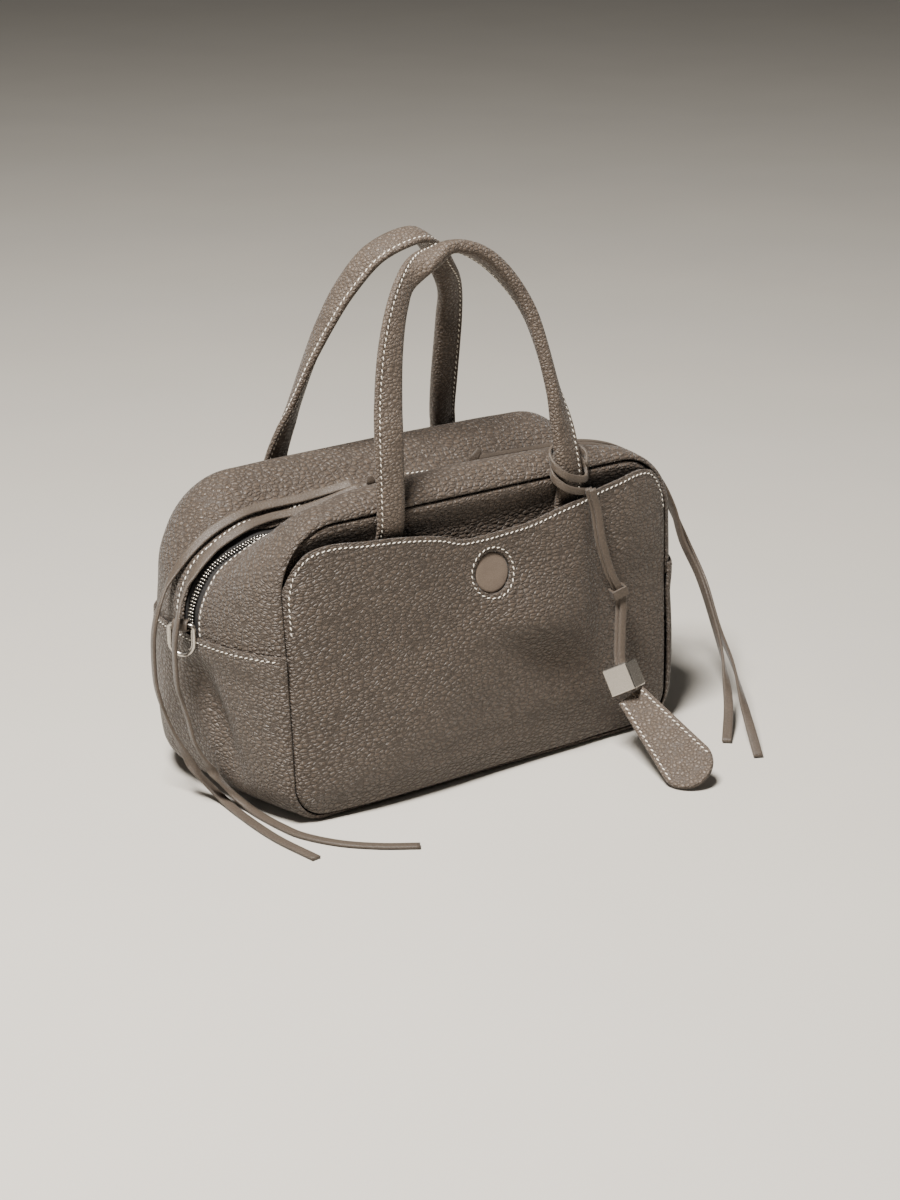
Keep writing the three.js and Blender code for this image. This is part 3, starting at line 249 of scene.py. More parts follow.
def plain(name, slot, colour, rough, metallic=0.0, noise=(400, 0.1), bump=0.0, scale=(1, 1, 1),
          vary=(0.86, 1.1)):
    """A finish with a fine noise in its roughness and, where bump isn't 0, its surface."""
    m, tree, shader, sized = new_material(name, slot, scale)
    spots = noise_node(tree, sized, noise[0], 4.0).outputs["Fac"]
    gloss = range_node(tree, spots, made=(rough - noise[1], rough + noise[1]))
    tree.links.new(gloss, shader.inputs["Roughness"])
    dark, light = ([min(255, c * share) for c in colour] for share in vary)
    tree.links.new(mixed(tree, spots, dark, light), shader.inputs["Base Color"])
    shader.inputs["Metallic"].default_value = metallic
    if bump:
        bumped(tree, shader, spots, 0.6, bump)
    return m


# The second colour of each pair is painted shade in the grain's creases. TAUPE is also set darker than the
# handles' colour, partly as its own tone and partly as painted shade for its deeper grain.
TAUPE, CREASE_SHADE_BROWN = (77, 66, 56), (57, 48, 40)
HANDLE_TAUPE, HANDLE_CREASE_SHADE = (86, 74, 63), (66, 56, 47)
body_leather = leather("body_leather", (3.9, 3.1, 2.1), TAUPE, CREASE_SHADE_BROWN, 1.1, crease=0.26,
                       rough=(0.4, 0.56))
handle_leather = leather("handle_leather", (2.5, 2.5, 2.0), HANDLE_TAUPE, HANDLE_CREASE_SHADE, 0.7,
                         crease=0.26, rough=(0.42, 0.56))
lace_leather = leather("lace_leather", (1.6, 1.6, 1.6), (74, 64, 54), (64, 55, 47), 0.12, fine=0.5,
                       rough=(0.45, 0.55))
disc_leather = leather("disc_leather", (1.3, 1.3, 1.3), (101, 88, 77), (93, 81, 70), 0.05, fine=0.6,
                       slot="smooth_leather")
cut_edge = plain("cut_edge", "leather", (112, 97, 83), 0.5, bump=0.05)
thread = plain("thread", "leather", (226, 219, 206), 0.6, noise=(3000, 0.1), bump=0.05)
tape_cloth = plain("tape_cloth", "tape_cloth", (26, 24, 23), 0.85, noise=(1800, 0.08), bump=0.15)
bright_teeth = plain("bright_teeth", "zip_metal", (205, 200, 192), 0.25, 1.0, noise=(900, 0.06))
brushed_nickel = plain("brushed_nickel", "nickel", (190, 184, 176), 0.25, 1.0, noise=(500, 0.08),
                       bump=0.01, scale=(1, 1, 14))
print(len(bpy.data.materials), "materials")


# %% [markdown]
# A mesh is made in its place, with its object at the origin. A curved sheet is a grid of points with
# a wall inside it. Everything rides on the bag's one body, and takes the place of its solid.

# %% Mesh helpers
def make_piece(name, points, faces, material, stands_for=()):
    mesh = bpy.data.meshes.new(name)
    mesh.from_pydata([tuple(float(c) * MM for c in p) for p in points], [], faces)
    mesh.materials.append(material)
    mesh.validate()
    mesh.shade_smooth()
    piece = bpy.data.objects.new(name, mesh)
    bpy.context.scene.collection.objects.link(piece)
    return settle(piece, material, stands_for)


def settle(piece, material, stands_for=()):
    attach(piece, "root")
    if stands_for:
        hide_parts(*stands_for)
    return piece


def sheet_faces(n, m, flip):
    quads = [(i * m + j, (i + 1) * m + j, (i + 1) * m + j + 1, i * m + j + 1)
             for i in range(n - 1) for j in range(m - 1)]
    return [q[::-1] for q in quads] if flip else quads


def sheet(rows, thickness, flip=False):
    """Points and faces of a wall: rows is a grid of points on its outer face."""
    rows = np.asarray(rows)
    n, m = rows.shape[:2]
    down, over = np.gradient(rows, axis=0), np.gradient(rows, axis=1)
    normal = unit(np.cross(down, over)) * (-1 if flip else 1)
    outer, inner = rows.reshape(-1, 3), (rows - normal * thickness).reshape(-1, 3)
    faces, count = sheet_faces(n, m, flip), n * m
    inside = [tuple(k + count for k in f[::-1]) for f in faces]
    border = ([(0, j) for j in range(m - 1)] + [(i, m - 1) for i in range(n - 1)]
              + [(n - 1, j) for j in range(m - 1, 0, -1)] + [(i, 0) for i in range(n - 1, 0, -1)])
    ring = [i * m + j for i, j in (border[::-1] if flip else border)]
    rim = [(a, b, b + count, a + count) for a, b in zip(ring, ring[1:] + ring[:1])]
    return np.vstack([outer, inner]), faces + inside + rim


def loft(rings, closed=False):
    rings = np.asarray(rings)
    n, m = rings.shape[:2]
    last = n if closed else n - 1
    faces = [(i * m + j, i * m + (j + 1) % m, (i + 1) % n * m + (j + 1) % m, (i + 1) % n * m + j)
             for i in range(last) for j in range(m)]
    if not closed:
        faces += [tuple(range(m))[::-1], tuple((n - 1) * m + j for j in range(m))]
    return rings.reshape(-1, 3), faces


def recalculated(piece):
    mesh = bmesh.new()
    mesh.from_mesh(piece.data)
    bmesh.ops.remove_doubles(mesh, verts=mesh.verts, dist=1e-6)
    bmesh.ops.recalc_face_normals(mesh, faces=mesh.faces)
    mesh.to_mesh(piece.data)
    mesh.free()
    return piece


# %% [markdown]
# The laces and the tag's thong come next, because they hang free. Each follows a line of chosen
# points. The section is a flat strap with soft edges, and its broad side faces a given way, so a
# lace turns over the bag's shoulder without a twist.

# %% Straps along a line
def smooth_line(points, count):
    """Points at even steps along a centripetal Catmull-Rom curve, with the curve's own parameter."""
    p = np.asarray(points, float)
    ends = np.vstack([2 * p[0] - p[1], p, 2 * p[-1] - p[-2]])
    u = np.linspace(0, 1, 1500)
    k = np.minimum((u * (len(p) - 1)).astype(int), len(p) - 2)
    w = (u * (len(p) - 1) - k)[:, None]
    p0, p1, p2, p3 = (ends[k + j] for j in range(4))
    spans = ((p0, p1), (p1, p2), (p2, p3))
    d0, d1, d2 = (np.linalg.norm(b - a, axis=1, keepdims=True) ** 0.5 for a, b in spans)
    t1 = ((p1 - p0) / d0 - (p2 - p0) / (d0 + d1) + (p2 - p1) / d1) * d1
    t2 = ((p2 - p1) / d1 - (p3 - p1) / (d1 + d2) + (p3 - p2) / d2) * d1
    line = p1 + t1 * w + (-3 * p1 + 3 * p2 - 2 * t1 - t2) * w ** 2 + (2 * p1 - 2 * p2 + t1 + t2) * w ** 3
    run = np.concatenate([[0], np.cumsum(np.linalg.norm(np.diff(line, axis=0), axis=1))])
    even = np.linspace(0, run[-1], count + 1)
    points = np.stack([np.interp(even, run, line[:, c]) for c in range(3)], axis=1)
    return points, np.interp(even, run, u), run[-1]


def strap_rings(line, facing, width, thickness, sides=14, soft=0.42):
    """Rings of a flat strap; facing(point) is the way of its broad side."""
    tangent = unit(np.gradient(line, axis=0))
    face = np.array([facing(p) for p in line], float)
    face = unit(face - tangent * np.sum(face * tangent, axis=1, keepdims=True))
    across = np.cross(face, tangent)
    turns = np.linspace(0, 2 * math.pi, sides, endpoint=False)
    c, s = np.cos(turns), np.sin(turns)
    x = np.sign(c) * np.abs(c) ** soft * width / 2
    y = np.sign(s) * np.abs(s) ** 0.7 * thickness / 2
    return line[:, None] + across[:, None] * x[None, :, None] + face[:, None] * y[None, :, None]


LENGTH, FOOT_LENGTH, HEIGHT, DEPTH = 284, 280, 175, 140
FRONT_LEAN, BACK_LEAN = 11, 13
SHOULDER = {-1: 41, 1: 35}
FOOT_RADIUS, SEAM_HEIGHT = 24, 102
LACE_WIDTH, LACE_THICKNESS, THONG_WIDTH, THONG_THICKNESS = 6, 2, 4.5, 2
LACES = {
    "left_front": [
        [-43, 0.5, 167.5], [-64, 5, 161.5], [-84.5, 8.6, 157.8], [-96.3, 10.2, 157.2], [-106.8, 9.4, 156.6],
        [-117.8, 7.6, 155.3], [-127.5, 7.2, 152.3], [-135.7, 7.2, 148.8], [-145, 5.5, 143.9],
        [-152.3, 5, 137.7], [-158.3, 4.5, 131], [-165.5, -1, 125.5], [-172.5, -7.5, 120], [-176, -10.5, 113],
        [-177.4, -10, 103], [-177.3, -9.5, 90], [-176, -9, 74.5], [-173, -8.5, 65.3], [-170.5, -10, 54.3],
        [-167.7, -11.5, 40.6], [-162.5, -13.5, 28.7], [-156.2, -17.5, 17], [-149.8, -22.5, 7.6],
        [-146.3, -32, 2.6], [-145.8, -46, 1.3], [-144.6, -66, 1.3], [-142, -82, 1.3], [-130.5, -104, 1.3],
        [-114.5, -120.5, 1.3], [-96, -133.5, 1.3]],
    "left_back": [
        [-43.4, 7.5, 168.6], [-60, 12.6, 165], [-75.4, 14.4, 163.2], [-90, 16.6, 162.4],
        [-103.5, 17.3, 161.8],
        [-114, 16.2, 161], [-123.7, 16, 158.6], [-133.4, 16.6, 154.7], [-143, 17.2, 149], [-152.4, 18, 141],
        [-158.4, 19.4, 133.4], [-164, 19, 126.8], [-171, 15, 119.5], [-175.8, 13, 110.7], [-177.8, 13, 100.8],
        [-178.4, 13, 88], [-177.6, 13, 71], [-176, 12, 61.5], [-172.9, 12, 51.4], [-169.2, 10, 40],
        [-165.2, 6, 29.1], [-161.2, 0, 17.8], [-155.6, -7, 8.4], [-152.8, -16, 3], [-153.8, -34, 1.3],
        [-155.4, -59.5, 1.3], [-155.4, -81, 1.3], [-151.8, -113, 1.3]],
    "right_front": [
        [42.9, -1.5, 167.6], [70, -2, 167], [100, -2, 167], [123, -2, 166], [148, -2, 159], [168, -3, 149],
        [183, -4, 134], [193, -7, 114], [198, -12, 91], [202, -24, 70], [196, -46, 47], [184, -70, 30],
        [166, -96, 14], [143, -121, 1.6]],
    "right_back": [
        [43.2, 5.4, 168.4], [70, 8, 167], [100, 8, 166], [123, 7.5, 165.5], [148, 7.5, 160], [168, 8, 150.5],
        [186, 8, 135.5], [200, 4, 111], [210, -4, 83.5], [211, -19, 63.5], [200, -45.6, 43.4],
        [178, -86, 33], [158.5, -120, 18], [143, -149.5, 1.6]],
}
LACE_TILT = {-1: (0.2, -0.7), 1: (0, 0)}


def lace_facing(side):
    """Away from the shoulder, and up on the floor."""
    def facing(p):
        past_x = p[0] - side * (LENGTH / 2 - SHOULDER[-1])
        away = np.array([past_x, 0, max(0, p[2] - HEIGHT + SHOULDER[-1])])
        if side * away[0] < 0:
            away[0] = 0
        low, high = LACE_TILT[side]
        away = unit(away + [0, 0, 1e-6])
        away[1] = lerp(low, high, smoothstep(p[2], SEAM_HEIGHT + LACE_WIDTH * 3, HEIGHT - LACE_WIDTH))
        hanging = smoothstep(p[2], 4, SEAM_HEIGHT * 0.45)
        return away * hanging + np.array([0, 0, 1 - hanging])
    return facing


def make_lace(name, points):
    side = -1 if points[0][0] < 0 else 1
    line, _, length = smooth_line(points, 160)
    rings = strap_rings(line, lace_facing(side), LACE_WIDTH, LACE_THICKNESS)
    node = f"lace_{name}"
    piece = recalculated(make_piece(f"{node}_strap", *loft(rings), lace_leather, stands_for=[node]))
    [tuple(p * MM) for p in line]
    print(f"lace {name}: {length:.0f} mm")


for lace_name, lace_points in LACES.items():
    make_lace(lace_name, lace_points)

# %% [markdown]
# The body's outline, seen from the front, is a box with round corners. A place on it is a number
# from 0, the top centre, to 6, the base centre, and it is negative on the left. The gussets stand off
# this outline by amounts in a table, which makes the sagging top, its two rolls and the soft ends.

# %% The body's form
PUFF, LEATHER, LIP, GAP = 20, 2, 3, 0.3
OVERLAP, SLOT, TAPE_WIDTH = 7, 15, 27
INSET = LIP + 0.9
ACROSS = [-1, -0.8, -0.55, -0.28, 0, 0.28, 0.55, 0.8, 1]
GUSSET_FORM = {
    0: [0, 0.47, 0.35, -0.2, -0.6, -0.45, 0.05, 0.25, 0],
    0.75: [0, 0.35, 0.2, -0.45, -0.9, -0.7, -0.1, 0.2, 0],
    1: [0, 0.15, -0.05, -0.7, -1.2, -0.9, -0.2, 0.15, 0],
    1.5: [0, 0, -0.1, -0.5, -0.85, -0.5, 0, 0.2, 0],
    1.75: [0, 0.15, 0.15, -0.15, -0.4, -0.1, 0.25, 0.3, 0],
    2: [0, 0.35, 0.5, 0.5, 0.5, 0.6, 0.7, 0.5, 0],
    2.5: [0, 0.4, 0.7, 0.85, 0.95, 0.95, 0.85, 0.55, 0],
    3: [0, 0.4, 0.72, 0.92, 1, 1, 0.9, 0.6, 0],
    3.5: [0, 0.4, 0.72, 0.85, 0.9, 1, 0.95, 0.65, 0],
    4: [0, 0.3, 0.55, 0.7, 0.75, 0.8, 0.8, 0.5, 0],
    4.5: [0, 0.12, 0.22, 0.28, 0.3, 0.32, 0.3, 0.2, 0],
    4.75: [0, 0.03, 0.05, 0.06, 0.06, 0.06, 0.06, 0.04, 0],
    5: [0] * 9,
    6: [0] * 9,
}
# side, from (place, across), to (place, across), depth, breadth
END_FOLDS = [
    (-1, (3.15, -0.05), (4.2, -0.5), 0.35, 0.035),
    (1, (3.15, -0.05), (4.1, -0.35), 0.3, 0.035),
    (1, (3.1, -0.6), (4.6, -0.6), -0.28, 0.1),
]


def half_outline(shoulder):
    """The knots' distances from the top centre, and a function from a distance to a point."""
    lean = math.hypot((LENGTH - FOOT_LENGTH) / 2, HEIGHT - shoulder - FOOT_RADIUS)
    runs = [LENGTH / 2 - shoulder, shoulder * math.pi / 2, lean, FOOT_RADIUS * math.pi / 2,
            FOOT_LENGTH / 2 - FOOT_RADIUS]
    ends = np.cumsum([0] + runs)

    def point(s):
        s = min(max(s, 0), ends[5])
        k = min(int(np.searchsorted(ends, s, side="right")) - 1, 4)
        t = (s - ends[k]) / runs[k]
        if k == 0:
            return np.array([s, HEIGHT])
        if k == 1:
            a = t * math.pi / 2
            across, down = shoulder * (1 - math.sin(a)), shoulder * (1 - math.cos(a))
            return np.array([LENGTH / 2 - across, HEIGHT - down])
        if k == 2:
            return np.array([lerp(LENGTH, FOOT_LENGTH, t) / 2, lerp(HEIGHT - shoulder, FOOT_RADIUS, t)])
        if k == 3:
            a = t * math.pi / 2
            across, up = FOOT_RADIUS * (1 - math.cos(a)), FOOT_RADIUS * (1 - math.sin(a))
            return np.array([FOOT_LENGTH / 2 - across, up])
        return np.array([(FOOT_LENGTH / 2 - FOOT_RADIUS) * (1 - t), 0])

    seam = lerp(ends[2], ends[3], (HEIGHT - shoulder - SEAM_HEIGHT) / (HEIGHT - shoulder - FOOT_RADIUS))
    return [ends[0], ends[1], ends[2], seam, ends[3], ends[4], ends[5]], point


OUTLINE = {side: half_outline(SHOULDER[side]) for side in (-1, 1)}


def side_of(place):
    return -1 if place < 0 else 1


def distance_to(side, place):
    knots = OUTLINE[side][0]
    k = min(5, int(place))
    return lerp(knots[k], knots[k + 1], place - k)


def further(side, place, length):
    knots = OUTLINE[side][0]
    at = distance_to(side, place) + length
    k = min(max(int(np.searchsorted(knots, at, side="right")) - 1, 0), 5)
    return k + (at - knots[k]) / (knots[k + 1] - knots[k])


def outline_at(place):
    """x and z of the outline, and its outward direction."""
    side = side_of(place)
    s = distance_to(side, abs(place))
    point = OUTLINE[side][1]
    p, along = point(s), unit(point(s + 0.7) - point(s - 0.7))
    return side * p[0], p[1], side * -along[1], along[0]


def front_seam(z):
    return -DEPTH / 2 + FRONT_LEAN * np.clip(z / HEIGHT, 0, 1) ** 1.5


def back_seam(z):
    return DEPTH / 2 - BACK_LEAN * np.clip(z / HEIGHT, 0, 1) ** 1.5


def curl(distance, radius=LIP):
    """How far a turned edge has curled away at a distance from its seam."""
    d = np.clip(distance, 0, radius)
    return radius - np.sqrt(radius ** 2 - (radius - d) ** 2)


def gusset_off(place, across):
    side = side_of(place)
    at = distance_to(side, abs(place))
    knots = [distance_to(side, p) for p in GUSSET_FORM]
    rows = [curve_through(ACROSS, row, across) for row in GUSSET_FORM.values()]
    off = PUFF * curve_through(knots, rows, at)
    for fold_side, start, end, depth, breadth in END_FOLDS:
        if fold_side != side:
            continue
        a, b = (np.array([distance_to(side, p), share * DEPTH / 2]) for p, share in (start, end))
        here = np.stack([np.full_like(across, at), across * DEPTH / 2], axis=-1)
        t = np.clip((here - a) @ (b - a) / ((b - a) @ (b - a)), 0, 1)
        away = np.linalg.norm(here - a - t[:, None] * (b - a), axis=1)
        off = off - PUFF * depth * np.sin(math.pi * t) * np.exp(-((away / (breadth * LENGTH)) ** 2))
    return off


def skin(place, y):
    """Points of the gusset's skin at a place, for an array of y."""
    x, z, out_x, out_z = outline_at(place)
    front, back = front_seam(z), back_seam(z)
    across = np.clip((y - front) / (back - front) * 2 - 1, -1, 1)
    off = gusset_off(place, across) - curl(y - front) - curl(back - y)
    return np.stack([x + out_x * off, y, z + out_z * off], axis=-1)


def gusset_points(place, y, lift=0.0):
    y = np.atleast_1d(np.asarray(y, float))
    p = skin(place, y)
    step = -0.02 if place > 5.9 else 0.02
    along = (skin(place + step, y) - p) * np.sign(step)
    over = skin(place, y + 0.5) - skin(place, y - 0.5)
    return p + unit(np.cross(along, over)) * np.asarray(lift)[..., None]


# %% [markdown]
# A gusset is drawn column by column from its seam, where the edge is turned in, to the zip's slot.
# The columns are close together at the seam, so that the turned edge is round. The base gusset's own
# edge lies over the two top gussets and is sewn down there.

# %% Gussets
LIP_SHARES = [0, 0.03, 0.1, 0.22, 0.38, 0.6, 0.8]
FOLD = 1.6


def columns_to(seam, slot_edge):
    way = math.copysign(1, slot_edge - seam)
    start = seam + way * LIP
    return np.array([seam + way * LIP * s for s in LIP_SHARES]
                    + list(np.linspace(start, slot_edge - way * FOLD, 30))
                    + [slot_edge - way * FOLD * s for s in (0.7, 0.45, 0.22, 0.08, 0)])


def both_sides(places, middle):
    return [-p for p in places(-1)] + [middle] + places(1)[::-1]


def steps(start, *stages):
    """Places from start through each stage's end, in that stage's number of steps."""
    made = []
    for end, count in stages:
        made += list(np.linspace(start, end, count)[:-1])
        start = end
    return made


def top_places(side):
    return steps(further(side, 3, OVERLAP - 1), (2, 16), (1, 26), (0, 22))


def top_gusset(side):
    rows = []
    for place in both_sides(top_places, 0):
        z = outline_at(place)[1]
        y = columns_to(front_seam(z) if side < 0 else back_seam(z), side * SLOT / 2)
        rows.append(gusset_points(place, y, -curl(np.abs(y - side * SLOT / 2), FOLD)))
    return sheet(rows, LEATHER, side > 0)


def base_places(side):
    return steps(further(side, 3, -1), (further(side, 3, 30), 26), (4, 12), (5, 14), (6, 12))


def base_lift(place):
    """The base gusset's edge lies on the top gussets, and sinks back to the body below them."""
    side = side_of(place)
    down = distance_to(side, abs(place)) - distance_to(side, 3)
    edge = curl(np.array(down + 1.0), 0.6)
    return (LEATHER * 0.8 + GAP) * (1 - smoothstep(down, OVERLAP - 2, OVERLAP + 14)) - float(edge)


def base_gusset():
    rows = []
    for place in both_sides(base_places, 6):
        z = outline_at(place)[1]
        front, back = front_seam(z), back_seam(z)
        lip = LIP * np.array(LIP_SHARES)
        y = np.concatenate([front + lip, np.linspace(front + LIP, back - LIP, 64), back - lip[::-1]])
        rows.append(gusset_points(place, y, base_lift(place)))
    return sheet(rows, LEATHER, True)


def make_leather(node, shape):
    return make_piece(f"{node}_leather", *shape, body_leather, stands_for=[node])


make_leather("top_gusset_front", top_gusset(-1))
make_leather("top_gusset_back", top_gusset(1))
make_leather("base_gusset", base_gusset())
print("gussets made")

# %% [markdown]
# The panels lie inside the turned edges of the gussets. The pocket is a second panel in front of the
# first, free along its dipping mouth. It bulges where things have been carried in it.

# %% Panels
POCKET_STAND, PANEL_SETBACK, BACK_PUFF = 8.5, 2.6, 9
DISC_DIAMETER, DISC_HEIGHT, DISC_CLEARANCE = 24, 126, 0.5
MOUTH = np.array([
    (-0.975, 0.8), (-0.927, 0.871), (-0.861, 0.913), (-0.754, 0.927), (-0.618, 0.918), (-0.439, 0.906),
    (-0.246, 0.88), (-0.148, 0.854), (-0.042, 0.849), (0.056, 0.852), (0.211, 0.863), (0.373, 0.891),
    (0.533, 0.912), (0.676, 0.935), (0.8, 0.95), (0.88, 0.938), (0.93, 0.9), (0.962, 0.845)])
POCKET_X = [-1, -0.85, -0.6, -0.3, 0, 0.25, 0.45, 0.57, 0.72, 0.88, 1]
POCKET_FORM = {
    0: [0, 0.2, 0.5, 0.5, 0.4, 0.3, 0.3, 0.2, 0.2, 0.1, 0],
    0.12: [0, 0.6, 1.2, 1.3, 1, 0.8, 0.7, 0.6, 0.5, 0.3, 0],
    0.35: [0, 0.6, 1.1, 1.3, 1.3, 1.3, 1.2, 0.9, 0.6, 0.4, 0],
    0.55: [0, 0.6, 1.0, 1.1, 1.5, 1.8, 1.5, 0.8, 0.6, 0.4, 0],
    0.72: [0, 0.7, 1.0, 1.1, 1.0, 1.3, 1.3, 0.7, 0.9, 0.6, 0],
    0.88: [0, 0.6, 1.0, 1.1, 1.0, 1.1, 1.2, 0.9, 1, 0.6, 0],
    1: [0, 0.5, 1.0, 1.1, 1.0, 1.1, 1.1, 1, 0.9, 0.5, 0],
}


def inset_point(place, inset=INSET):
    x, z, out_x, out_z = outline_at(place)
    return np.array([x - out_x * inset, z - out_z * inset])


EDGE = np.array([inset_point(p) for p in np.linspace(-6, 6, 600)])


def edge_distance(x, z):
    """The shortest way from points to the panels' edge, measured to its short straight pieces."""
    p = np.stack([np.ravel(x), np.ravel(z)], axis=-1)
    a, run = EDGE[:-1], np.diff(EDGE, axis=0)
    best = np.full(len(p), 1e9)
    for k in range(len(a)):
        t = np.clip((p - a[k]) @ run[k] / (run[k] @ run[k]), 0, 1)
        best = np.minimum(best, np.hypot(*(p - a[k] - t[:, None] * run[k]).T))
    return best.reshape(np.shape(x))


COLUMN = np.concatenate([np.linspace(0, 0.95, 26), np.linspace(1, 1.8, 14), [1.86, 1.91, 1.95, 1.98, 2]])
COLUMNS = np.concatenate([-COLUMN[:0:-1], COLUMN])
ROWS = np.concatenate([[0, 0.002, 0.005, 0.009, 0.014, 0.02], np.linspace(0.03, 0.97, 62),
                       [0.98, 0.986, 0.991, 0.995, 0.998, 1]])


def panel_grid(top):
    foot = np.array([inset_point(side_of(c) * (6 - abs(c))) for c in COLUMNS])
    return foot[None] + (top - foot)[None] * ROWS[:, None, None]


def panel(top, depth_at, flip):
    grid = panel_grid(top)
    y = depth_at(grid[..., 0].ravel(), grid[..., 1].ravel()).reshape(grid.shape[:2])
    return sheet(np.stack([grid[..., 0], y, grid[..., 1]], axis=-1), LEATHER, flip)


def front_panel_y(x, z):
    shown = smoothstep(z, HEIGHT * 0.86, HEIGHT * 0.97)
    return front_seam(z) + (LEATHER + PANEL_SETBACK) * (1 - shown) + curl(edge_distance(x, z))


def back_panel_y(x, z):
    away = edge_distance(x, z)
    return back_seam(z) + BACK_PUFF * np.sin(math.pi / 2 * np.minimum(1, away / (HEIGHT / 2))) - curl(away)


# soft swells and dents of the pocket: middle, half length and half breadth, slope in degrees, depth
POCKET_FOLDS = [
    ((28, 92), 34, 15, -28, -2.6),
    ((34, 66), 40, 13, -24, 2.8),
    ((-6, 98), 26, 8, -52, 1.0),
    ((-70, 46), 46, 26, 12, -1.2),
    ((66, 40), 30, 18, 10, -1.0),
    ((-20, 24), 70, 8, 2, 0.8),
]


def pocket_fold(x, z):
    total = np.zeros_like(x)
    for (at_x, at_z), long, wide, slope, depth in POCKET_FOLDS:
        c, s = math.cos(math.radians(slope)), math.sin(math.radians(slope))
        along, over = (x - at_x) * c + (z - at_z) * s, (z - at_z) * c - (x - at_x) * s
        total += depth * np.exp(-((along / long) ** 2) - (over / wide) ** 2)
    return total


def pocket_y(x, z):
    x, z = np.atleast_1d(x).astype(float), np.atleast_1d(z).astype(float)
    stand = np.array([curve_through(POCKET_X, row, 2 * x / LENGTH) for row in POCKET_FORM.values()])
    fold = pocket_fold(x, z) * smoothstep(edge_distance(x, z), 2, 30)
    stood = POCKET_STAND * curve_through(list(POCKET_FORM), stand, z / HEIGHT)
    return front_seam(z) - stood + fold + curl(edge_distance(x, z))


def mouth_line():
    xs, zs = MOUTH[:, 0] * LENGTH / 2, MOUTH[:, 1] * HEIGHT
    inner = np.linspace(xs[0], xs[-1], len(COLUMNS) - 2)
    line = np.stack([inner, curve_through(xs, zs, inner)], axis=-1)
    return np.vstack([inset_point(-2), line, inset_point(2)])


TOP_EDGE = np.array([inset_point(c) for c in COLUMNS])
make_leather("front_panel", panel(TOP_EDGE, front_panel_y, True))
make_leather("back_panel", panel(TOP_EDGE, back_panel_y, False))
pocket_shape = panel(mouth_line(), pocket_y, True)
pocket = make_piece("pocket_leather", *pocket_shape, body_leather, stands_for=["pocket_panel"])
print("panels made")

# %% [markdown]
# The magnetic snap is a plain leather disc that lies in a round cut-out of the pocket. A boolean
# modifier cuts the hole, and the disc is lathed with a soft rim.

# %% Snap
disc_face = np.array([0, pocket_y(0, DISC_HEIGHT)[0], DISC_HEIGHT])
disc_slope = math.atan2((pocket_y(0, DISC_HEIGHT + 9) - pocket_y(0, DISC_HEIGHT - 9))[0], 18)
disc_turn = Matrix.Translation(disc_face) @ Matrix.Rotation(-disc_slope, 4, "X")


def lathe_disc(profile, sides=72):
    """A disc that faces the front: profile is radius and depth behind the face."""
    turns = np.linspace(0, 2 * math.pi, sides, endpoint=False)
    rings = [[disc_turn @ Vector((r * math.cos(a), d, r * math.sin(a))) for a in turns] for r, d in profile]
    return loft([[tuple(p) for p in ring] for ring in rings])


def cut_snap_hole():
    radius = DISC_DIAMETER / 2 + DISC_CLEARANCE
    cutter = recalculated(make_piece("cutter", *lathe_disc([(radius, -12), (radius, 12)]), cut_edge))
    cut = pocket.modifiers.new("hole", "BOOLEAN")
    cut.operation, cut.object, cut.solver = "DIFFERENCE", cutter, "EXACT"
    shaped = bpy.data.meshes.new_from_object(pocket.evaluated_get(bpy.context.evaluated_depsgraph_get()))
    pocket.modifiers.clear()
    pocket.data = shaped
    bpy.data.objects.remove(cutter)


cut_snap_hole()
R = DISC_DIAMETER / 2
DISC_PROFILE = [(0.01, 0.15), (R * 0.5, 0.15), (R - 1.6, 0.2), (R - 0.7, 0.35), (R - 0.25, 0.75),
                (R, 1.5), (R, 2.6), (0.01, 2.6)]
recalculated(make_piece("snap_leather", *lathe_disc(DISC_PROFILE), disc_leather, stands_for=["snap_disc"]))

# %% [markdown]
# The zip is a black tape with two rows of metal teeth. The teeth repeat along the tape's middle, so a
# Geometry Nodes tree makes them: it turns a line of points into a curve, sets an instance at even
# steps along it, and realizes the instances. The same tree, with other sizes, makes every stitch.

# %% A tree for what repeats along a line
def link(tree, a, b):
    tree.links.new(a, b)


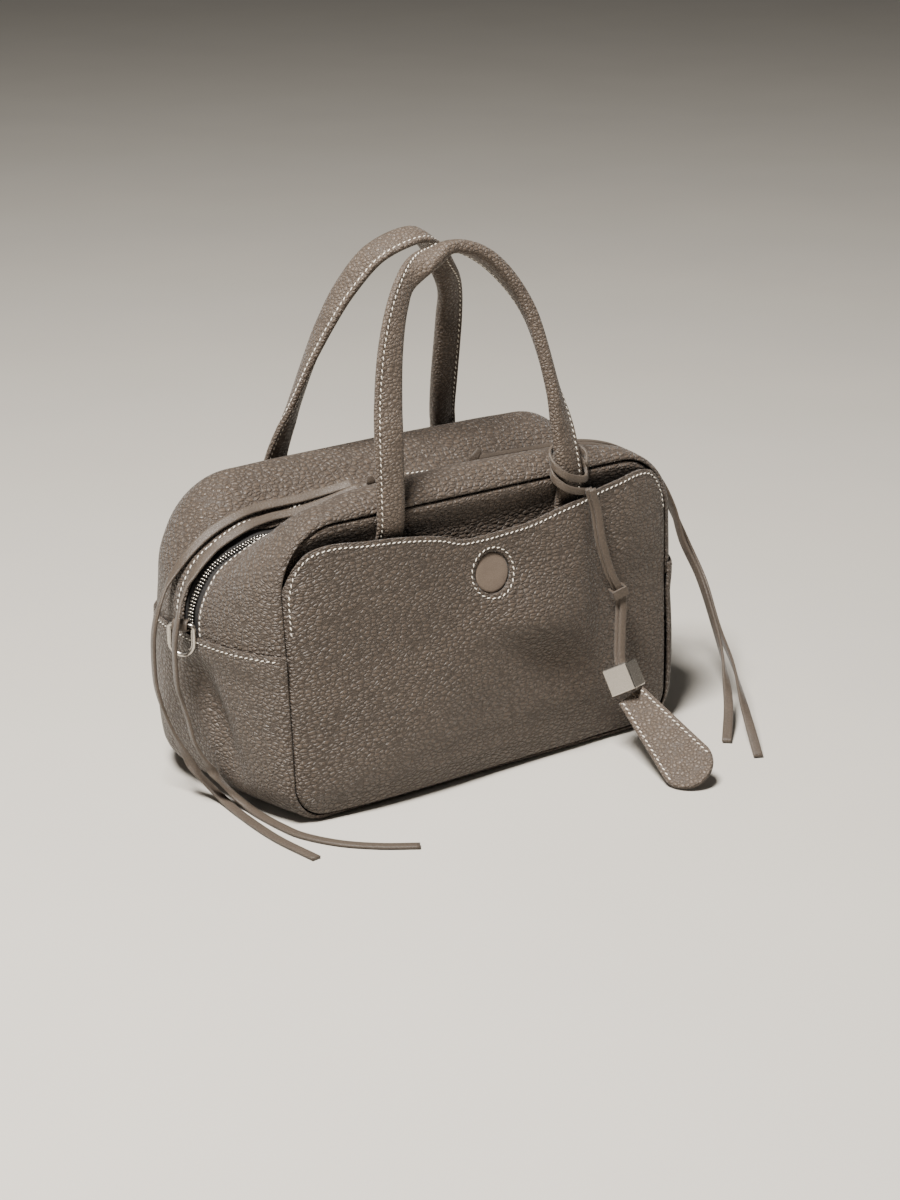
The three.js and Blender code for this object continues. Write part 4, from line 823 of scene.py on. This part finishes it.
def repeat_tree():
    """Instances of an egg shape along lines, turned by Slant about each point's "up"."""
    tree = bpy.data.node_groups.new("eggs_along_lines", "GeometryNodeTree")
    face = tree.interface
    face.new_socket("Geometry", in_out="INPUT", socket_type="NodeSocketGeometry")
    for label in ("Pitch", "Egg length", "Egg width", "Egg height", "Slant"):
        face.new_socket(label, in_out="INPUT", socket_type="NodeSocketFloat")
    face.new_socket("Material", in_out="INPUT", socket_type="NodeSocketMaterial")
    face.new_socket("Geometry", in_out="OUTPUT", socket_type="NodeSocketGeometry")
    make = tree.nodes.new
    given, out = make("NodeGroupInput").outputs, make("NodeGroupOutput").inputs
    curve, even = make("GeometryNodeMeshToCurve"), make("GeometryNodeResampleCurve")
    link(tree, given["Geometry"], curve.inputs[0])
    link(tree, curve.outputs[0], even.inputs["Curve"])
    even.mode = "LENGTH"
    link(tree, given["Pitch"], even.inputs["Length"])
    up = make("GeometryNodeInputNamedAttribute")
    up.data_type = "FLOAT_VECTOR"
    up.inputs["Name"].default_value = "up"
    tangent = make("GeometryNodeInputTangent")
    side = vector_node(tree, "CROSS_PRODUCT", up.outputs["Attribute"], tangent.outputs[0])
    slanted = vector_node(tree, "SCALE", side, given["Slant"], "Scale")
    way = vector_node(tree, "ADD", tangent.outputs[0], slanted)
    along = make("FunctionNodeAlignRotationToVector")
    along.axis = "X"
    link(tree, way, along.inputs["Vector"])
    upright = make("FunctionNodeAlignRotationToVector")
    upright.axis, upright.pivot_axis = "Z", "X"
    link(tree, along.outputs[0], upright.inputs["Rotation"])
    link(tree, up.outputs["Attribute"], upright.inputs["Vector"])
    egg = make("GeometryNodeMeshUVSphere")
    egg.inputs["Segments"].default_value, egg.inputs["Rings"].default_value = 8, 5
    egg.inputs["Radius"].default_value = 0.5
    size = make("ShaderNodeCombineXYZ")
    for axis, label in zip("XYZ", ("Egg length", "Egg width", "Egg height")):
        link(tree, given[label], size.inputs[axis])
    put = make("GeometryNodeInstanceOnPoints")
    link(tree, even.outputs[0], put.inputs["Points"])
    link(tree, egg.outputs[0], put.inputs["Instance"])
    link(tree, upright.outputs[0], put.inputs["Rotation"])
    link(tree, size.outputs[0], put.inputs["Scale"])
    real, paint = make("GeometryNodeRealizeInstances"), make("GeometryNodeSetMaterial")
    link(tree, put.outputs[0], real.inputs[0])
    link(tree, real.outputs[0], paint.inputs["Geometry"])
    link(tree, given["Material"], paint.inputs["Material"])
    link(tree, paint.outputs[0], out[0])
    return tree


ALONG_LINES = repeat_tree()


def eggs(name, lines, material, pitch, size, slant=0.0, stands_for=()):
    """lines is a list of (points, ups), in millimetres; size is an egg's length, width and height."""
    points, edges, ups = [], [], []
    for line, up in lines:
        edges += [(len(points) + k, len(points) + k + 1) for k in range(len(line) - 1)]
        points += [tuple(p) for p in np.asarray(line) * MM]
        ups += [tuple(v) for v in unit(up)]
    mesh = bpy.data.meshes.new(name)
    mesh.from_pydata(points, edges, [])
    held = mesh.attributes.new("up", "FLOAT_VECTOR", "POINT")
    held.data.foreach_set("vector", np.ravel(ups))
    carrier = bpy.data.objects.new(name, mesh)
    bpy.context.scene.collection.objects.link(carrier)
    nodes = carrier.modifiers.new("repeat", "NODES")
    nodes.node_group = ALONG_LINES
    sockets = {s.name: s.identifier for s in ALONG_LINES.interface.items_tree if s.in_out == "INPUT"}
    values = dict(zip(("Egg length", "Egg width", "Egg height"), [s * MM for s in size]))
    for label, value in {"Pitch": pitch * MM, "Slant": slant, "Material": material, **values}.items():
        nodes[sockets[label]] = value
    made = bpy.data.meshes.new_from_object(carrier.evaluated_get(bpy.context.evaluated_depsgraph_get()))
    carrier.modifiers.clear()
    carrier.data = made
    made.shade_smooth()
    print(name, len(made.polygons), "faces")
    return settle(carrier, material, stands_for)


# %% [markdown]
# The tape lies just under the two top gussets, all along the slot between them. The teeth stand on it
# in two rows that meet in the middle.

# %% Zip
CHAIN_THICKNESS, TAPE_THICKNESS = 1.6, 0.8
TOOTH, TOOTH_PITCH, TOOTH_ROW = (1.15, 3.1, 1.7), 2.0, 1.15
TAPE_LIFT = -LEATHER - 2 * GAP
CHAIN_LIFT = TAPE_LIFT + 2 * GAP + CHAIN_THICKNESS


def zip_tape():
    y = np.linspace(-TAPE_WIDTH / 2, TAPE_WIDTH / 2, 25)
    rows = [gusset_points(place, y, TAPE_LIFT) for place in both_sides(top_places, 0)]
    return sheet(rows, TAPE_THICKNESS)


def row_on_gusset(places, y_at, lift):
    """Points at a lift over the gusset's skin, with its outward directions."""
    low = np.array([gusset_points(p, [y_at(p)], lift)[0] for p in places])
    high = np.array([gusset_points(p, [y_at(p)], lift + 1)[0] for p in places])
    return low, high - low


def chain_line(offset):
    """Along the chain's middle, offset across it."""
    places = both_sides(lambda side: steps(further(side, 3, -OVERLAP), (0, 90)), 0)
    return row_on_gusset(places, lambda p: offset, CHAIN_LIFT - CHAIN_THICKNESS / 2)


make_piece("zip_tape_cloth", *zip_tape(), tape_cloth, stands_for=["zip_tape"])
eggs("zip_teeth", [chain_line(-TOOTH_ROW), chain_line(TOOTH_ROW)], bright_teeth, TOOTH_PITCH, TOOTH,
     stands_for=["zip_chain"])

# %% [markdown]
# Seed stitches run beside the zip, along the base gusset's edge, round the snap and under the
# pocket's mouth. Each is a short length of thick pale thread that slants a little across its row.

# %% Stitch rows on the body
STITCH, STITCH_PITCH, STITCH_SLANT, THREAD_LIFT = (2.5, 0.75, 0.6), 3.5, 0.32, 0.12
ZIP_ROW = {-1: -SLOT / 2 - 2.6, 1: SLOT / 2 + 5.5}
EDGE_TO_ROW, ROW_END = 2.2, 3.5


def zip_row(side):
    places = both_sides(lambda s: steps(further(s, 3, -2), (0, 80)), 0)
    return row_on_gusset(places, lambda p: ZIP_ROW[side], THREAD_LIFT)


def base_row(side):
    place = side * further(side, 3, EDGE_TO_ROW)
    z = outline_at(place)[1]
    ys = np.linspace(front_seam(z) + ROW_END, back_seam(z) - ROW_END, 70)
    lift = base_lift(place) + THREAD_LIFT
    low = gusset_points(place, ys, lift)
    return low, gusset_points(place, ys, lift + 1) - low


def pocket_line(x, z):
    """Points on the pocket's face, with its outward directions."""
    y = pocket_y(x, z)
    dx = pocket_y(x + 0.5, z) - pocket_y(x - 0.5, z)
    dz = pocket_y(x, z + 0.5) - pocket_y(x, z - 0.5)
    up = unit(np.stack([dx, -np.ones_like(y), dz], axis=-1))
    return np.stack([x, y, z], axis=-1) + up * THREAD_LIFT, up


def mouth_row(inset=2.5):
    line = mouth_line()
    way = unit(np.gradient(line, axis=0))
    inner = line + np.stack([way[:, 1], -way[:, 0]], axis=-1) * inset
    inside = (edge_distance(inner[:, 0], inner[:, 1]) > inset * 0.9) & (inner[:, 1] > HEIGHT * 0.78)
    down_the_left = np.array([inset_point(p, INSET + inset) for p in np.linspace(-2.6, -2, 12)])
    return pocket_line(*np.vstack([down_the_left, inner[inside]]).T)


def snap_row():
    turns = np.linspace(0, 2 * math.pi, 60)
    r = DISC_DIAMETER / 2 + 2.7
    return pocket_line(r * np.cos(turns), DISC_HEIGHT + r * np.sin(turns))


def stitches(name, rows):
    return eggs(name, rows, thread, STITCH_PITCH, STITCH, STITCH_SLANT)


stitches("body_stitches", [zip_row(-1), zip_row(1), base_row(-1), base_row(1), mouth_row(), snap_row()])

# %% [markdown]
# A handle is a leather strap folded round a cord and sewn along one edge. Its middle line and the
# turn of its sewn edge come from a table, and the section is thick at the fold and flat at the seam.

# %% Handles
HANDLE_SPREAD, STRAP_WIDTH, STRAP_FOLD, LEG_FOOT, SEWN_GAP = 131, 18, 8, 124, 0.7
SECTION_W = [-0.5, -0.44, -0.28, 0.08, 0.32, 0.46, 0.5]
SECTION_N = [0, 0.75, 1, 0.85, 0.46, 0.42, 0]
# across, lean, rise, turn, flat, wide
FRONT_ARCH = np.array([
    (-1, 0, 0, 2, 0.85, 1), (-0.985, 0.11, 0.32, 3, 1, 1), (-0.955, 0.22, 0.42, 0, 1, 1),
    (-0.875, 0.4, 0.64, -10, 1, 0.98), (-0.74, 0.6, 0.81, -17, 1, 0.93), (-0.585, 0.77, 0.905, -8, 1, 0.86),
    (-0.24, 0.93, 0.98, 75, 1, 0.85), (-0.09, 1, 1, 96, 1, 0.88), (0.145, 0.965, 0.973, 106, 1, 0.93),
    (0.375, 0.875, 0.9, 101, 1, 0.96), (0.655, 0.7, 0.722, 83, 1, 0.95), (0.79, 0.47, 0.525, 63, 1, 0.95),
    (0.88, 0.27, 0.335, 40, 1, 0.95), (0.92, 0.11, 0.177, 12, 1, 0.97), (0.96, 0, 0, 1, 0.85, 1)])
REAR_ARCH = np.array([
    (-0.95, 0, 0, 15, 0.85, 0.98), (-0.895, 0.16, 0.17, 32, 1, 0.96), (-0.87, 0.26, 0.25, 47, 1, 0.96),
    (-0.75, 0.5, 0.5, 66, 1, 0.97), (-0.67, 0.64, 0.635, 80, 1, 0.96), (-0.51, 0.76, 0.79, 95, 1, 0.94),
    (-0.265, 0.92, 0.94, 104, 1, 0.96), (0.14, 1, 1, 100, 1, 1), (0.33, 0.92, 0.95, 80, 1, 0.96),
    (0.54, 0.79, 0.82, 50, 1, 0.87), (0.715, 0.6, 0.7, 14, 1, 0.88), (0.8, 0.42, 0.56, 10, 1, 0.97),
    (0.83, 0.24, 0.225, 12, 1, 0.98), (0.895, 0.08, 0.077, 7, 1, 0.97), (0.94, 0, 0, 6, 0.85, 0.98)])
LEG_ROWS = [(0, 0.6), (0.3, 0.62), (0.55, 0.66), (0.8, 0.75)]
ROW_SHARE = 0.36


def section_height(share):
    return np.sqrt(np.maximum(curve_through(SECTION_W, np.square(SECTION_N), share), 0))


def handle_line(arch, facing, top, lean_in, panel_y):
    def leg_y(z, flat):
        depth = float(np.ravel(panel_y(np.array([HANDLE_SPREAD / 2]), np.array([z])))[0])
        return depth + facing * (STRAP_FOLD * flat / 2 + SEWN_GAP)

    def leg(side):
        end = abs(arch[0 if side < 0 else -1][0])
        return [(side * lerp(1, end, up) * HANDLE_SPREAD / 2, leg_y(lerp(LEG_FOOT, HEIGHT, up), flat),
                 lerp(LEG_FOOT, HEIGHT, up), 0, flat, 1) for up, flat in LEG_ROWS]
    foot_y = leg_y(HEIGHT, arch[0][4])
    bow = [(a * HANDLE_SPREAD / 2, foot_y - facing * lean_in * lean, lerp(HEIGHT, top, rise), *section)
           for a, lean, rise, *section in arch]
    return np.array(leg(-1) + bow + leg(1)[::-1])


def handle_frames(rows, facing, count):
    """Middle points, the way to the sewn edge, the thick way, and each ring's width and thickness."""
    line, u, _ = smooth_line(rows[:, :3], count)
    turn, flat, wide = (curve_through(np.linspace(0, 1, len(rows)), rows[:, k], u) for k in (3, 4, 5))
    t = unit(np.gradient(line, axis=0))
    outward = unit(np.cross(t, [0, 1, 0]))
    inward = np.cross(outward, t) * -facing
    angle = np.radians(turn)[:, None]
    w = outward * np.cos(angle) + inward * np.sin(angle)
    return line, w, np.cross(t, w) * -facing, STRAP_WIDTH * wide, STRAP_FOLD / 2 * flat


def make_handle(name, arch, facing, top, lean_in, panel_y, node):
    line, w, n, width, thick = handle_frames(handle_line(arch, facing, top, lean_in, panel_y), facing, 150)
    shares = np.concatenate([[-0.5, -0.49, -0.465], np.linspace(-0.43, 0.44, 14), [0.47, 0.49, 0.5]])
    half = list(zip(shares, section_height(shares)))
    ring = half + [(s, -h) for s, h in half[-2:0:-1]]
    rings = [[line[i] + w[i] * s * width[i] + n[i] * h * thick[i] for s, h in ring] for i in range(len(line))]
    recalculated(make_piece(name, *loft(rings), handle_leather, stands_for=[node]))
    rows = []
    for face in (1, -1):
        lift = (section_height(ROW_SHARE) * thick + THREAD_LIFT) * face
        rows.append((line + w * (ROW_SHARE * width)[:, None] + n * lift[:, None], n * face))
    return rows


handle_rows = make_handle("front_handle_strap", FRONT_ARCH, -1, 312, 28, front_panel_y, "front_handle")
handle_rows += make_handle("rear_handle_strap", REAR_ARCH, 1, 308, 46, back_panel_y, "rear_handle")
stitches("handle_stitches", handle_rows)

# %% [markdown]
# At each end a nickel D-ring hangs from a leather tab. The ring is a closed wire, and the tab a flat
# strap that comes out of the zip's end, goes round the ring's bar and returns on itself.

# %% Rings and tabs
RING_WIDTH, RING_HEIGHT, RING_WIRE, RING_TURN, RING_STAND, RING_RISE = 18, 21, 3, 35, 27, 8
RING_CORNER = 1.8
TAB_WIDTH, TAB_THICKNESS = 12, 1.4


def ring_frame(side):
    turn = math.radians(RING_TURN)
    along = np.array([-side * math.sin(turn), -math.cos(turn), 0])
    return np.array([side * (LENGTH / 2 + RING_STAND), -RING_STAND / 8, SEAM_HEIGHT + RING_RISE]), along


def make_ring(side, name):
    middle, along = ring_frame(side)
    down = np.array([0, 0, -1.0])
    w, h = (RING_WIDTH - RING_WIRE) / 2, RING_HEIGHT - RING_WIRE
    bow = [(w * math.cos(a), h - w + w * math.sin(a)) for a in np.linspace(0, math.pi, 25)]
    left = [(-w + RING_CORNER * (1 - math.cos(a)), RING_CORNER * (1 - math.sin(a)))
            for a in np.linspace(0, math.pi / 2, 6)]
    path = left + [(-x, y) for x, y in left[::-1]] + bow
    points = np.array([middle + along * x + down * y for x, y in path])
    tangent = unit(np.roll(points, -1, axis=0) - np.roll(points, 1, axis=0))
    face = np.cross(along, down)
    turns = np.linspace(0, 2 * math.pi, 14, endpoint=False)
    rings = [[p + RING_WIRE / 2 * (face * math.sin(a) + np.cross(face, t) * math.cos(a)) for a in turns]
             for p, t in zip(points, tangent)]
    recalculated(make_piece(f"d_ring_{name}_wire", *loft(rings, closed=True), brushed_nickel,
                            stands_for=[f"d_ring_{name}"]))


def make_tab(side, name):
    middle, along = ring_frame(side)
    out = np.cross(along, [0, 0, side])
    radius = RING_WIRE / 2 + 2 * GAP + TAB_THICKNESS / 2
    low = gusset_points(side * further(side, 3, OVERLAP / 2), [0], -LEATHER / 2)[0]
    edge = gusset_points(side * further(side, 3, -OVERLAP / 4), [0], -LEATHER / 2)[0]
    rear = middle - out * radius
    loop = [middle - out * radius * math.cos(a) + np.array([0, 0, radius * math.sin(a)])
            for a in np.linspace(0, math.pi * 1.55, 14)]
    way_out = [low, edge, lerp(edge, rear, 0.45) + [0, 0, 0.6], rear - [0, 0, radius * 0.8]]
    line, _, _ = smooth_line(way_out + loop, 70)
    tangent = unit(np.gradient(line, axis=0))
    share = np.linspace(0, 1, len(line))
    across = unit(lerp(np.array([0, -1.0, 0]), along, smoothstep(share, 0.1, 0.45)[:, None]))
    face = np.cross(across, tangent)
    width = lerp(TAB_WIDTH, TAB_WIDTH * 0.8, smoothstep(share, 0.1, 0.5))
    turns = np.linspace(0, 2 * math.pi, 14, endpoint=False)
    x = np.sign(np.cos(turns)) * np.abs(np.cos(turns)) ** 0.35 / 2
    y = np.sin(turns) * TAB_THICKNESS / 2
    flat = across[:, None] * (x[None] * width[:, None])[..., None]
    rings = line[:, None] + flat + face[:, None] * y[None, :, None]
    node = f"ring_tab_{name}"
    recalculated(make_piece(f"{node}_leather", *loft(rings), lace_leather, stands_for=[node]))


for ring_side, ring_name in ((-1, "left"), (1, "right")):
    make_ring(ring_side, ring_name)
    make_tab(ring_side, ring_name)

# %% [markdown]
# A zip slider is a small cast body with a bridge. The two laces are knotted through the bridge.

# %% Sliders and knots
SLIDER_AT, SLIDER_SIZE = 36, (11, 9, 3)
KNOT = (13, 9, 5.5)


def slider_frame(side):
    a, b = (gusset_points(side * p, [0], CHAIN_LIFT + 2 * GAP)[0] for p in (0.25, 0.5))
    at = lerp(a, b, (SLIDER_AT - abs(a[0])) / abs(b[0] - a[0]))
    return at, math.atan2(b[2] - a[2], side * (b[0] - a[0]))


def rounded_box(mesh, size, middle, bevel):
    place = Matrix.Translation(middle) @ Matrix.Diagonal((*size, 1))
    made = bmesh.ops.create_cube(mesh, size=1, matrix=place)
    edges = list({e for v in made["verts"] for e in v.link_edges})
    bmesh.ops.bevel(mesh, geom=edges, offset=bevel, segments=3, affect="EDGES", profile=0.5)


def box_piece(name, boxes, axes, material, node):
    """A piece of rounded boxes: each is its size, its middle and its bevel."""
    mesh = bmesh.new()
    for size, middle, bevel in boxes:
        rounded_box(mesh, size, middle, bevel)
    mesh.transform(Matrix.Scale(MM, 4) @ axes)
    data = bpy.data.meshes.new(name)
    mesh.to_mesh(data)
    mesh.free()
    data.materials.append(material)
    piece = bpy.data.objects.new(name, data)
    bpy.context.scene.collection.objects.link(piece)
    return settle(piece, material, [node])


def make_slider(side, name):
    """A low body with a narrow bridge on it. Gives the point where it stands."""
    at, slope = slider_frame(side)
    long, wide, high = SLIDER_SIZE
    axes = Matrix.Translation(at) @ Matrix.Rotation(-slope * side, 4, "Y")
    body = ((long, wide, high / 2), (0, 0, high / 4), 0.6)
    bridge = ((long * 0.6, wide / 3, high * 0.45), (0, 0, high * 0.76), 0.5)
    box_piece(f"slider_{name}_body", [body, bridge], axes, brushed_nickel, f"zip_slider_{name}")
    return at


# how far each knot's folded tip reaches from the knot's middle
KNOT_TIP = {-1: (-2, -2, 8), 1: (7, -2, 10.5)}


def knot_tip(side, centre):
    """The lace's fold above the knot: a short strap that narrows to a blunt point."""
    reach = np.array(KNOT_TIP[side])
    line, share, _ = smooth_line([centre, centre + reach * [0.4, 1, 0.5], centre + reach], 14)
    rings = strap_rings(line, lambda p: (-0.5, -1, 0.2), LACE_WIDTH, LACE_THICKNESS * 1.3)
    taper = (1 - 0.6 * share ** 3)[:, None, None]
    return loft(line[:, None] + (rings - line[:, None]) * taper)


def make_knot(side, name, at):
    """A tight overhand knot: one closed turn of lace that passes over and under itself."""
    centre = at + np.array([0, 0, SLIDER_SIZE[2] + GAP + KNOT[2] / 2])
    turns = np.linspace(0, 2 * math.pi, 90, endpoint=False)
    x = (np.sin(turns) + 2 * np.sin(2 * turns)) / 3 * (KNOT[0] / 2 - 1.3)
    y = (np.cos(turns) - 2 * np.cos(2 * turns)) / 3 * (KNOT[1] / 2 - 1.0)
    z = -np.sin(3 * turns) * (KNOT[2] / 2 - 1.3)
    line = centre + np.stack([x, y, z], axis=-1)
    tangent = unit(np.roll(line, -1, axis=0) - np.roll(line, 1, axis=0))
    out = unit(line - centre + np.array([0, 0, 1e-3]))
    face = unit(out - tangent * np.sum(out * tangent, axis=1, keepdims=True))
    across = np.cross(face, tangent)
    a = np.linspace(0, 2 * math.pi, 12, endpoint=False)
    flat = across[:, None] * (np.cos(a) * 1.7)[None, :, None]
    rings = line[:, None] + flat + face[:, None] * (np.sin(a) * 1.1)[None, :, None]
    points, faces = loft(rings, closed=True)
    tip_points, tip_faces = knot_tip(side, centre)
    faces += [tuple(k + len(points) for k in f) for f in tip_faces]
    recalculated(make_piece(f"knot_{name}_lace", np.vstack([points, tip_points]), faces, lace_leather,
                            stands_for=[f"lace_knot_{name}"]))


for slider_side, slider_name in ((-1, "left"), (1, "right")):
    make_knot(slider_side, slider_name, make_slider(slider_side, slider_name))

# %% [markdown]
# The tag hangs from a thong that is looped twice round the handle's right leg. The thong's two ends
# pass through a small sleeve and hold a metal cube, and a stitched leather paddle hangs below it.

# %% Tag
WRAP = np.array([
    (0.8, -1.05, 161.5), (0, -1.15, 163.5), (-0.75, -0.95, 167), (-1.1, 0, 172.5), (-0.78, 0.82, 179.5),
    (0, 0.95, 182), (0.75, 0.8, 181), (1.1, 0, 175), (0.75, -0.95, 169.8), (0, -1.15, 171),
    (-0.75, -0.95, 174.5), (-1.1, 0, 180), (-0.78, 1.2, 186), (0, 1.4, 188), (0.78, 1.2, 187),
    (1.1, 0, 182.5), (0.8, -1, 178)])
STRAND = np.array([
    [71.2, -73, 164], [73, -73.2, 157.5], [75.3, -74, 149], [77.4, -76, 131], [82.9, -79, 110],
    [87.3, -80.5, 100.7], [89.3, -81.5, 93.2], [86.5, -85, 75.7], [82.9, -89.5, 58.8], [82.5, -92.8, 51.5]])
CUBE, CUBE_BEVEL = 17, 0.8
CUBE_AT, CUBE_DOWN = np.array([82.4, -94, 49.1]), unit([0.12, -0.47, -0.88])
CUBE_SIDE = np.array([0.48, -0.72, 0.48])
PADDLE_LENGTH, PADDLE_NECK, PADDLE_WIDTH, PADDLE_THICKNESS = 75, 18, 32, 3.4
PADDLE_TIP = np.array([82.8, -161, 8.5])
leg_x = FRONT_ARCH[-1][0] * HANDLE_SPREAD / 2
leg_y = float(front_panel_y(np.array([HANDLE_SPREAD / 2]), np.array([HEIGHT]))[0])
leg_y -= 0.43 * STRAP_FOLD + SEWN_GAP
wrap_wide, wrap_deep = (size / 2 + THONG_THICKNESS / 2 + 3 * GAP for size in (STRAP_WIDTH, STRAP_FOLD))
wrap_points = [(leg_x + x * wrap_wide, leg_y + y * wrap_deep, z) for x, y, z in WRAP]


def off_the_leg(p):
    return unit([p[0] - leg_x, (p[1] - leg_y) * 3, 0])


wrap_line, _, _ = smooth_line(wrap_points, 160)
wrap_rings = strap_rings(wrap_line, off_the_leg, THONG_WIDTH, THONG_THICKNESS)
wrap = recalculated(make_piece("tag_wrap_thong", *loft(wrap_rings), lace_leather, stands_for=["tag_wrap"]))


def own_axes(at, z_axis, x_axis):
    z = Vector(unit(z_axis))
    x = (Vector(x_axis) - Vector(x_axis).project(z)).normalized()
    return Matrix.Translation(at) @ Matrix((x, z.cross(x), z)).transposed().to_4x4()


strand_line, _, strand_length = smooth_line(STRAND, 100)
keeper_place = np.mean([list(corner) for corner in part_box("tag_keeper")], axis=0) / MM
keeper_k = int(np.argmin(np.linalg.norm(strand_line - keeper_place, axis=1)))
keeper_at, keeper_way = strand_line[keeper_k], strand_line[keeper_k + 2] - strand_line[keeper_k - 2]
keeper_wide, keeper_deep = THONG_WIDTH + 8 * GAP, 2 * THONG_THICKNESS + 5 * GAP
KEEPER_WALL, KEEPER_HIGH, KEEPER_BEVEL = 1.4, 6, 0.5
long_wall = (keeper_wide + 2 * KEEPER_WALL, KEEPER_WALL, KEEPER_HIGH)
short_wall = (KEEPER_WALL, keeper_deep + KEEPER_WALL, KEEPER_HIGH)
off_y, off_x = ((inside + KEEPER_WALL) / 2 for inside in (keeper_deep, keeper_wide))
keeper_walls = [(long_wall, (0, side * off_y, 0), KEEPER_BEVEL) for side in (-1, 1)]
keeper_walls += [(short_wall, (side * off_x, 0, 0), KEEPER_BEVEL) for side in (-1, 1)]
keeper_axes = own_axes(keeper_at, keeper_way, (1, -0.3, 0))
keeper = box_piece("tag_keeper_leather", keeper_walls, keeper_axes, lace_leather, "tag_keeper")
cube_axes = own_axes(CUBE_AT, CUBE_DOWN, CUBE_SIDE)
cube_box = ((CUBE, CUBE, CUBE), (0, 0, 0), CUBE_BEVEL)
cube = box_piece("tag_cube_metal", [cube_box], cube_axes, brushed_nickel, "tag_cube")

# %% [markdown]
# The paddle is two layers of leather with a row of stitches along each side.

# %% Paddle
paddle_from = CUBE_AT + CUBE_DOWN * (CUBE / 2 + PADDLE_THICKNESS)
paddle_axes = own_axes(paddle_from, PADDLE_TIP - paddle_from, (0.79, -0.36, 0.5))


def paddle_edge(inset=0.0, count=48):
    """The paddle's outline in its own plane, across and down, from one neck corner to the other."""
    n, w = PADDLE_NECK / 2 - inset, PADDLE_WIDTH / 2 - inset
    round_end = [(w * math.cos(a), PADDLE_LENGTH - PADDLE_WIDTH / 2 + w * math.sin(a))
                 for a in np.linspace(0, math.pi, count)]
    side = [(lerp(n, round_end[0][0], t), lerp(inset, round_end[0][1], t)) for t in np.linspace(0, 1, 24)]
    return side[:-1] + round_end + [(-x, z) for x, z in side[:-1][::-1]]


def make_paddle():
    half = PADDLE_THICKNESS / 2
    # how far in from the outline each layer of the rounded edge lies, and how high
    layers = [(1.2, half - 0.05), (0.45, half - 0.1), (0.1, half - 0.5), (0, half - 1.0),
              (0.12, 0.12), (0.3, 0)]
    rings = [[paddle_axes @ Vector((x, y, z)) for x, z in paddle_edge(inset)]
             for inset, y in layers + [(i, -y) for i, y in layers[-2::-1]]]
    return recalculated(make_piece("tag_paddle_leather", *loft([[tuple(p) for p in r] for r in rings]),
                                   handle_leather, stands_for=["tag_paddle"]))


def paddle_rows():
    rows = []
    for face in (1, -1):
        for side in (1, -1):
            start = (side * (PADDLE_NECK / 2 - 2.2), face * (PADDLE_THICKNESS / 2 + 0.05), 3)
            end = (side * (PADDLE_WIDTH / 2 - 2.4), start[1], PADDLE_LENGTH - PADDLE_WIDTH / 2 + 2)
            line = [[lerp(a, b, t) for a, b in zip(start, end)] for t in np.linspace(0, 1, 20)]
            points = np.array([tuple(paddle_axes @ Vector(p)) for p in line])
            up = np.array(tuple(paddle_axes.to_3x3() @ Vector((0, face, 0))))
            rows.append((points, np.repeat(up[None], len(points), axis=0)))
    return rows


paddle = make_paddle()
paddle_stitches = stitches("paddle_stitches", paddle_rows())


def make_strand(name, sign):
    shift = np.array([0.5, -(THONG_THICKNESS + 2 * GAP) / 2, 0]) * sign
    line = strand_line + shift
    rings = strap_rings(line, lambda p: (-0.3, -1, 0.1), THONG_WIDTH, THONG_THICKNESS)
    piece = recalculated(make_piece(f"tag_strand_{name}_thong", *loft(rings), lace_leather,
                                    stands_for=[f"tag_strand_{name}"]))
    return piece, line


left_strand, left_line = make_strand("left", -1)
right_strand, right_line = make_strand("right", 1)
[tuple(p * MM) for p in left_line]
[tuple(p * MM) for p in right_line]

# %% [markdown]
# A plain pale floor, a large soft light above the bag's left end and a weak one in front show the
# grain without hard shadows.

# %% Floor and light
def make_floor():
    mesh = bpy.data.meshes.new("floor")
    s = 6.0
    mesh.from_pydata([(-s, -s, 0), (s, -s, 0), (s, s, 0), (-s, s, 0)], [], [(0, 1, 2, 3)])
    mesh.materials.append(plain("floor_paint", "leather", (186, 181, 172), 0.7, noise=(6, 0.03),
                                vary=(0.98, 1.01)))
    floor = bpy.data.objects.new("floor", mesh)
    bpy.context.scene.collection.objects.link(floor)


def make_light(name, place, size, watts, colour):
    """A round lamp that points at the middle of the bag."""
    data = bpy.data.lights.new(name, "AREA")
    data.shape, data.size, data.energy, data.color = "DISK", size, watts, colour
    light = bpy.data.objects.new(name, data)
    light.location = place
    light.rotation_euler = (BAG_MIDDLE - Vector(place)).to_track_quat("-Z", "Y").to_euler()
    bpy.context.scene.collection.objects.link(light)


def light_room(colour, strength):
    world = bpy.context.scene.world or bpy.data.worlds.new("room")
    bpy.context.scene.world = world
    world.use_nodes = True
    background = world.node_tree.nodes["Background"]
    background.inputs["Color"].default_value = colour
    background.inputs["Strength"].default_value = strength


BAG_MIDDLE = Vector((0, 0, 0.1))
make_floor()
make_light("key", (-0.78, -0.4, 1.9), 0.6, 150, (1, 0.97, 0.93))
make_light("fill", (-1.9, 0.3, 0.9), 1.0, 3, (1, 0.96, 0.92))
make_light("rim", (1.8, -0.9, 1.0), 0.6, 3, (1, 0.96, 0.92))
light_room((0.9, 0.87, 0.82, 1), 0.09)
print("floor,", len(bpy.data.lights), "lights")
